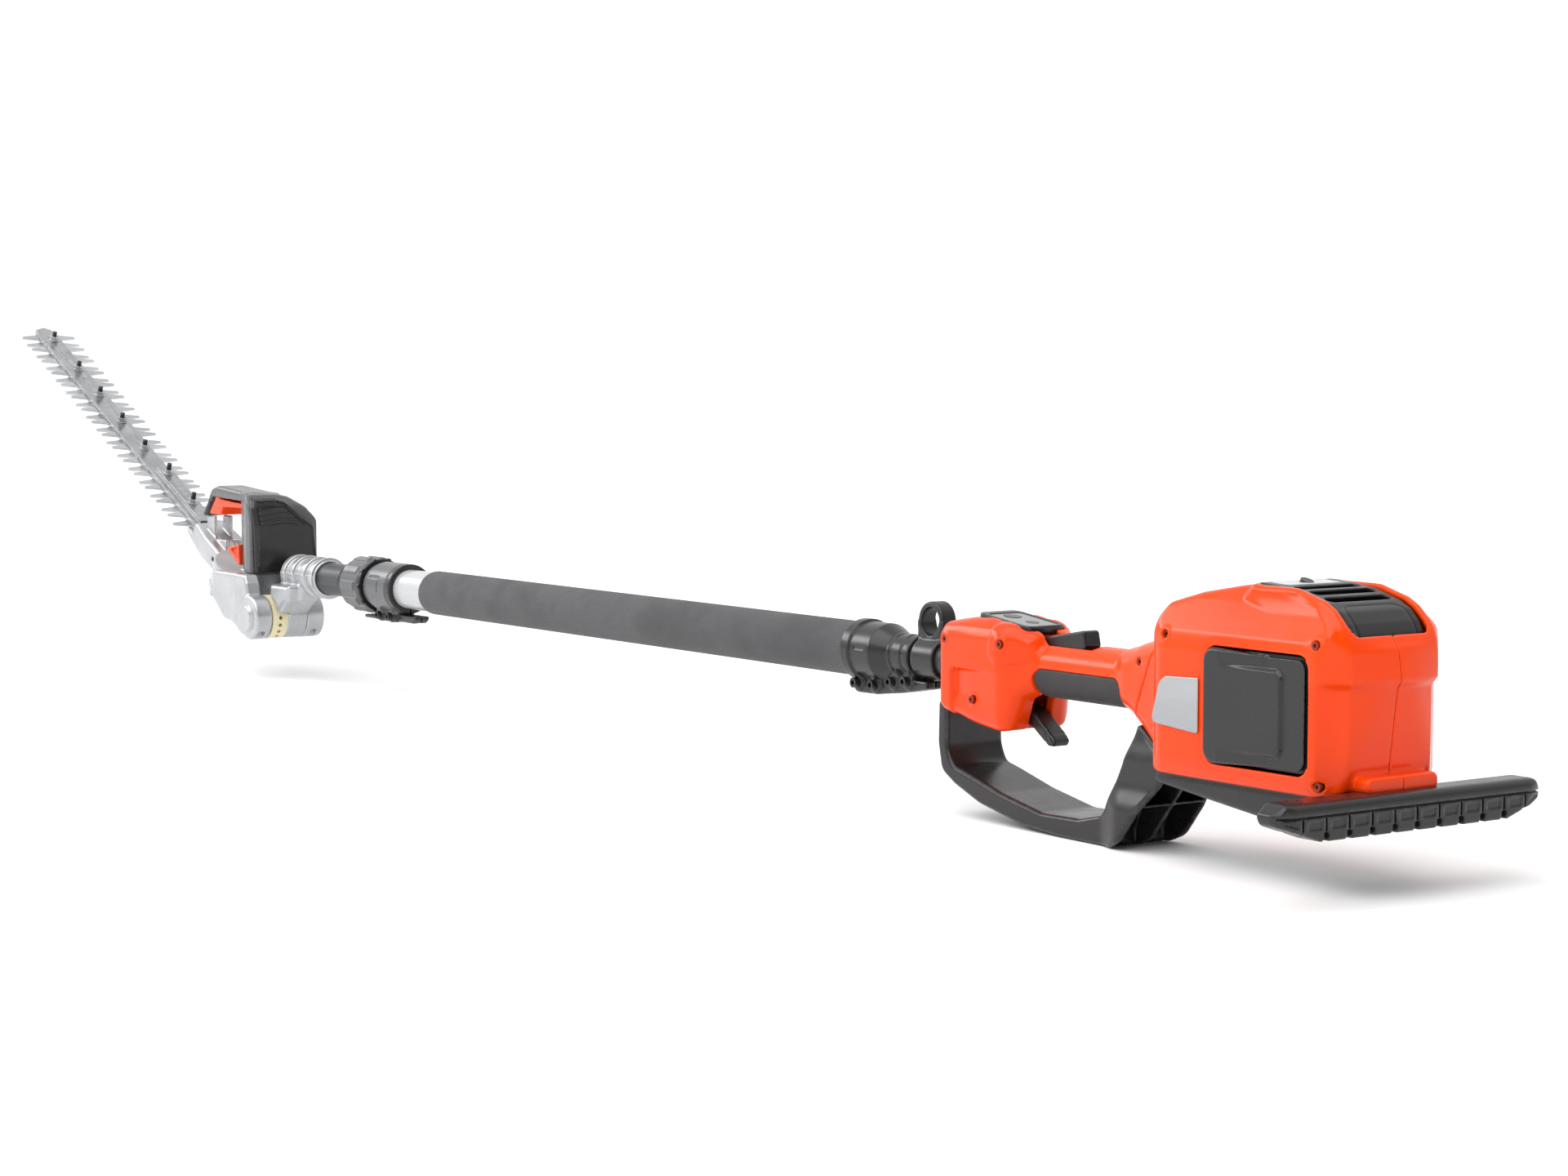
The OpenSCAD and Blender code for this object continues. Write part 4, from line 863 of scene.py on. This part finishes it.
solid("gear_casting", gear_case, (1090, -48, -80), (1440, 64, 64), 1.2, ["cast_silver", "cast_matte"], "gear_case",
      pick=lambda x, y, z: (np.abs(head_in(x, y, z)[2] - 24) < 1.5) & (disc(head_in(x, y, z)[0], y, -150, 0, 46) < 0))


def gear_cover(x, y, z):
    d = rmax(decagon(x + 150, y, 48.3), slab(z, -15, -9.1), 1.4)
    for k in range(5):
        a = math.radians(36 + 72 * k)
        d = cut(d, np.maximum(disc(x, y, -150 + 44.2 * math.cos(a), 44.2 * math.sin(a), 1.6), z - 99), 0.2)
    return d + 0.6 * ridge(np.sqrt((x + 150) ** 2 + y ** 2) - 34, 1.2) * (z < -12)


solid("cover_plate", gear_cover, (-200, -49, -15), (-100, 49, -9), 1.0, "cast_silver", "gear_cover", to_pole=head_out)

# ------------------------------------------------------------------ head shroud, handle and motor cover
SHS = fillet([(1143, 0.2), (1143, 62), (1149, 82), (1162, 94), (1180, 98), (1222, 99.5), (1222, 12), (1208, 0.2)], [2, 12, 12, 10, 12, 5, 6, 3])
SHP = fillet([(1143, -44), (1143, 46), (1158, 46), (1210, 27), (1222, 21), (1222, -21), (1210, -27), (1158, -44)], [4, 5, 8, 8, 4, 4, 8, 8])
# seen from behind, the top falls away on the right
SHE = fillet([(46, -5), (46, 86), (38, 97), (24, 100.5), (2, 97), (-13, 92), (-31, 79), (-45, 62), (-45, -5)], [1, 10, 8, 12, 12, 12, 14, 8, 1])
HAN = fillet([(1196, 94), (1300, 101), (1318, 97), (1330, 82), (1348, 62), (1342, 62), (1326, 81), (1314, 86), (1196, 82)], [1, 12, 10, 14, 1, 1, 8, 6, 1])
LCH = fillet([(1225, 55), (1225, 92), (1296, 92), (1298, 95.5), (1316, 95.5), (1322, 82), (1344, 55)], [1, 1, 1, 1, 1, 5, 1])


def shroud(X, Y, Z):
    body = rmax(rmax(poly(SHS, X, Z), poly(SHP, X, Y), 4), poly(SHE, Y, Z), 4)
    han = rmax(poly(HAN, X, Z), np.abs(Y) - 20, 5.5)
    d = rmin(body, han, 6)
    d = np.maximum(d, -(body + 3.0))
    d = cut(d, np.maximum(np.maximum(poly(CEND, Y, Z) + 1.5, 4.5 - Z), X - 1160), 0.8)
    d = cut(d, np.maximum(poly(LCH, X, Z), np.abs(Y) - 16.4), 0.6)
    # oval hole on top, where the handle meets the body
    d = cut(d, np.maximum(rect(X, Y, 1208, 1230, 2, 15, 6), 88 - Z), 0.8)
    x, y, z = head_in(X, Y, Z)
    d = np.maximum(d, -np.maximum(np.maximum(29.4 - Y, slab(X, 1190, 1240)), slab(Z, -4, 40)))
    d = np.maximum(d, -np.maximum(disc(x, y, -187.5, 0, 29.4), slab(z, 0, 46.3)))
    d = np.maximum(d, -np.maximum(disc(x, y, -187.5, 0, 27.3), slab(z, 30, 110)))
    return cut(d, np.maximum(np.maximum(Z - 14, 1215 - X), np.abs(Y) - 26), 0.5)


CEND = fillet([(41, -5), (42, 60), (44, 78), (40, 91), (9, 91), (-2, 88), (-24, 67), (-37, 57), (-40.5, 19), (-40.5, -5)], [1, 20, 8, 8, 8, 8, 12, 8, 20, 1])
solid("shroud_shell", shroud, (1142, -46, 0), (1350, 47, 102), 1.2, "mid_grey_plastic", "head_shroud")

MC = fillet([(1137.8, 1), (1137.8, 58), (1143, 81), (1152, 92), (1156, 92), (1156, 1)], [2, 16, 10, 2, 1, 1])


def motor_cover(X, Y, Z):
    d = rmax(poly(MC, X, Z), poly(CEND, Y, Z), 3)
    d = rmax(d, 1 - Z, 1)
    x, y, z = head_in(X, Y, Z)
    d = np.maximum(d, -np.maximum(disc(x, y, -187.5, 0, 27.3), slab(z, 30, 110)))
    # curved ridges below a latch in the upper part
    lines = 0.5 + 0.5 * np.cos((Z + 0.005 * (Y - 4) ** 2) * 2 * math.pi / 6.4)
    edge = poly(CEND, Y, Z)
    d = d - 1.4 * lines * step((-edge - 8) / 2) * step((Z - 58) / 2) * step((79 - Z) / 2)
    # a raised border and the latch
    d = d - 1.2 * ridge(edge + 3.2, 1.6) * (Z > 8)
    latch = poly(fillet([(8, 92), (12, 82), (27, 82), (31, 92)], 1.5), Y, Z)
    return d - 1.9 * step((0.4 - latch) / 1.4) * (X < 1154)


solid("motor_cap", motor_cover, (1135, -44, 0), (1157, 46, 94), 0.7, "dark_grey_plastic", "motor_cover")

LEV = fillet([(1227, 75.5), (1227, 80.5), (1262, 82), (1298, 84.5), (1302, 90), (1304, 93.5), (1312, 93.5), (1314, 90), (1315, 83.5), (1320, 79.5), (1334.5, 64.4), (1296, 64.4), (1290, 74)],
             [2, 2, 6, 2, 2, 1.5, 1.5, 2, 3, 4, 2, 3, 4])


def lever(X, Y, Z):
    d = rmax(poly(LEV, X, Z), np.abs(Y) - 15.8, 2.5)
    return np.minimum(d, rmax(disc(X, Z, 1308, 90, 2.5), np.abs(Y) - 18, 0.5))


solid("lever_blade", lever, (1226, -19, 63), (1336, 19, 94), 0.9, "orange_plastic", "release_lever")

LINK = fillet([(1197, 6), (1200, 33), (1236, 27)], [2, 2.5, 2])
LINK_IN = fillet([(1201, 14), (1203, 29.5), (1225, 26)], 1.5)


def link(X, Y, Z):
    d = rmax(poly(LINK, X, Z), slab(Y, 30, 36), 1.0)
    return cut(d, np.maximum(poly(LINK_IN, X, Z), 33.5 - Y), 0.7)


solid("link_wedge", link, (1196, 30, 5), (1237, 36, 34), 0.7, "orange_deep", "release_link")

# ------------------------------------------------------------------ CAD nodes that stay: edges eased, materials by slot
def keep(node, mat, bevel=0.0, seg=2, angle=35):
    o = NODES[node]
    if not o.material_slots:
        o.data.materials.append(M[mat])
    for s in o.material_slots:
        s.link = "OBJECT"
        s.material = M[mat]
    if bevel:
        w = o.modifiers.new("weld", "WELD")
        w.merge_threshold = 2e-6
        b = o.modifiers.new("edges", "BEVEL")
        b.width = bevel / 1000
        b.segments = seg
        b.limit_method = "ANGLE"
        b.angle_limit = math.radians(angle)
        b.harden_normals = False
        n = o.modifiers.new("normals", "WEIGHTED_NORMAL")
        n.keep_sharp = True


KEEP = {
    "battery_bay": ("black_plastic", 0.0), "battery_case": ("black_plastic", 0.6), "control_board": ("board", 0.2),
    "indicator_panel": ("light_grey_plastic", 0.7), "indicator_button": ("dark_grey_plastic", 0.6),
    "power_button": ("dark_grey_plastic", 0.7), "mode_button": ("dark_grey_plastic", 0.6),
    "trigger_pin": ("steel", 0.3), "trigger_spring": ("steel", 0.2), "trigger_switch": ("black_plastic", 0.4),
    "housing_screws": ("screw_painted_orange_reflection", 0.25), "stub_tube": ("dark_tube", 0.4), "clamp_screws": ("dark_steel", 0.3),
    "outer_tube": ("white_tube", 0.4), "lock_screws": ("dark_steel", 0.3), "lock_collet": ("light_grey_plastic", 0.0),
    "coil_cable": ("cable", 0.0), "inner_tube": ("dark_tube", 0.5), "glide_bush": ("light_grey_plastic", 0.0),
    "index_ring": ("cream_plastic", 0.4), "hinge_axle": ("dark_steel", 0.8), "cover_screws": ("dark_steel", 0.3),
    "motor_stator": ("stator_iron", 0.0), "bearings": ("steel", 0.0), "index_pin": ("steel", 0.3), "motor_rotor": ("steel", 0.0),
    "motor_pinion": ("steel", 0.0), "crank_gear": ("steel", 0.0), "upper_blade": ("blade_steel", 0.3), "lower_blade": ("blade_steel", 0.3),
    "blade_guide": ("guide_metal", 0.6), "blade_bolts": ("dark_steel", 0.5), "blade_nuts": ("steel", 0.5),
}
REPLACED = {"rear_housing_left", "rear_housing_right", "side_panel_left", "side_panel_right", "front_housing_left", "front_housing_right", "grip_insert_left", "grip_insert_right",
            "control_panel", "trigger", "lockout_lever", "guard_loop", "under_tray", "rear_foot", "battery_top", "hanger_eye", "shaft_clamp", "foam_sleeve", "lock_socket",
            "twist_collar", "knuckle", "gear_case", "gear_cover", "head_shroud", "motor_cover", "release_lever", "release_link"}
for n in NODES:
    if n in REPLACED:
        continue
    mat, bev = KEEP.get(n, ("steel", 0.0))
    if n not in KEEP:
        print("no material chosen for", n)
    keep(n, mat, bev)

# ------------------------------------------------------------------ floor and light
fl = bpy.data.meshes.new("floor")
s = 40.0
fl.from_pydata([(-s, -s, -0.0004), (s, -s, -0.0004), (s, s, -0.0004), (-s, s, -0.0004)], [], [(0, 1, 2, 3)])
floor = bpy.data.objects.new("floor", fl)
bpy.context.scene.collection.objects.link(floor)
fl.materials.append(surface("floor_pale", (0.90, 0.90, 0.90, 1), (0.88, 0.88, 0.88, 1), rough=(0.75, 0.85), big=0.6, grain_mm=0.0, mid_mm=0.01, speck=0.0, spec=0.2))

world = bpy.data.worlds.new("studio")
bpy.context.scene.world = world
world.use_nodes = True
wt = world.node_tree
bg = wt.nodes["Background"]
bg.inputs[1].default_value = 1.0
# a white sweep ahead and above, dimmer behind the camera
wc = wt.nodes.new("ShaderNodeTexCoord")
wd = wt.nodes.new("ShaderNodeVectorMath")
wd.operation = "DOT_PRODUCT"
wd.inputs[1].default_value = (0.78, -0.54, 0.31)
wr = wt.nodes.new("ShaderNodeMapRange")
wr.inputs[1].default_value, wr.inputs[2].default_value = -0.55, 0.45
wr.inputs[3].default_value, wr.inputs[4].default_value = 0.10, 1.03
wt.links.new(wc.outputs["Generated"], wd.inputs[0])
wt.links.new(wd.outputs["Value"], wr.inputs[0])
# white all round at the horizon, so that it meets the floor
ws = wt.nodes.new("ShaderNodeSeparateXYZ")
wt.links.new(wc.outputs["Generated"], ws.inputs[0])
wu = wt.nodes.new("ShaderNodeMapRange")
wu.inputs[1].default_value, wu.inputs[2].default_value = 0.10, 0.24
wu.inputs[3].default_value, wu.inputs[4].default_value = 1.03, 0.0
wt.links.new(ws.outputs[2], wu.inputs[0])
wa = wt.nodes.new("ShaderNodeMath")
wa.operation = "MAXIMUM"
wt.links.new(wr.outputs[0], wa.inputs[0])
wt.links.new(wu.outputs[0], wa.inputs[1])
wt.links.new(wa.outputs[0], bg.inputs[0])


def area(name, loc, target, size, power, size_y=None):
    d = bpy.data.lights.new(name, "AREA")
    d.shape = "RECTANGLE"
    d.size = size
    d.size_y = size_y or size
    d.energy = power
    o = bpy.data.objects.new(name, d)
    bpy.context.scene.collection.objects.link(o)
    z = (np.array(loc) - np.array(target)) / np.linalg.norm(np.array(loc) - np.array(target))
    x = np.cross((0, 0, 1.0), z)
    x = x / np.linalg.norm(x) if np.linalg.norm(x) > 1e-6 else np.array((1.0, 0, 0))
    y = np.cross(z, x)
    o.matrix_world = Matrix(((x[0], y[0], z[0], loc[0]), (x[1], y[1], z[1], loc[1]), (x[2], y[2], z[2], loc[2]), (0, 0, 0, 1)))
    o.visible_camera = False


sun = bpy.data.lights.new("sky", "SUN")
sun.energy = 2.5
sun.angle = math.radians(70)
so = bpy.data.objects.new("sky", sun)
bpy.context.scene.collection.objects.link(so)
sz = np.array((-0.10, 0.52, 0.85))
sz = sz / np.linalg.norm(sz)
sx = np.cross((0, 0, 1.0), sz)
sx = sx / np.linalg.norm(sx)
sy = np.cross(sz, sx)
so.matrix_world = Matrix(((sx[0], sy[0], sz[0], 0), (sx[1], sy[1], sz[1], 0), (sx[2], sy[2], sz[2], 4), (0, 0, 0, 1)))
# a tall soft strip behind the camera's left for a highlight along rounded edges
area("strip", (-2.6, 2.6, 1.9), (-0.9, 0.0, 0.1), 0.5, 14, 2.4)
# a wide soft box far ahead on the left, mirrored in the sloping shoulders
area("soft_box", (5.4, 3.8, 3.4), (-0.9, 0.0, 0.2), 6.0, 170, 1.6)
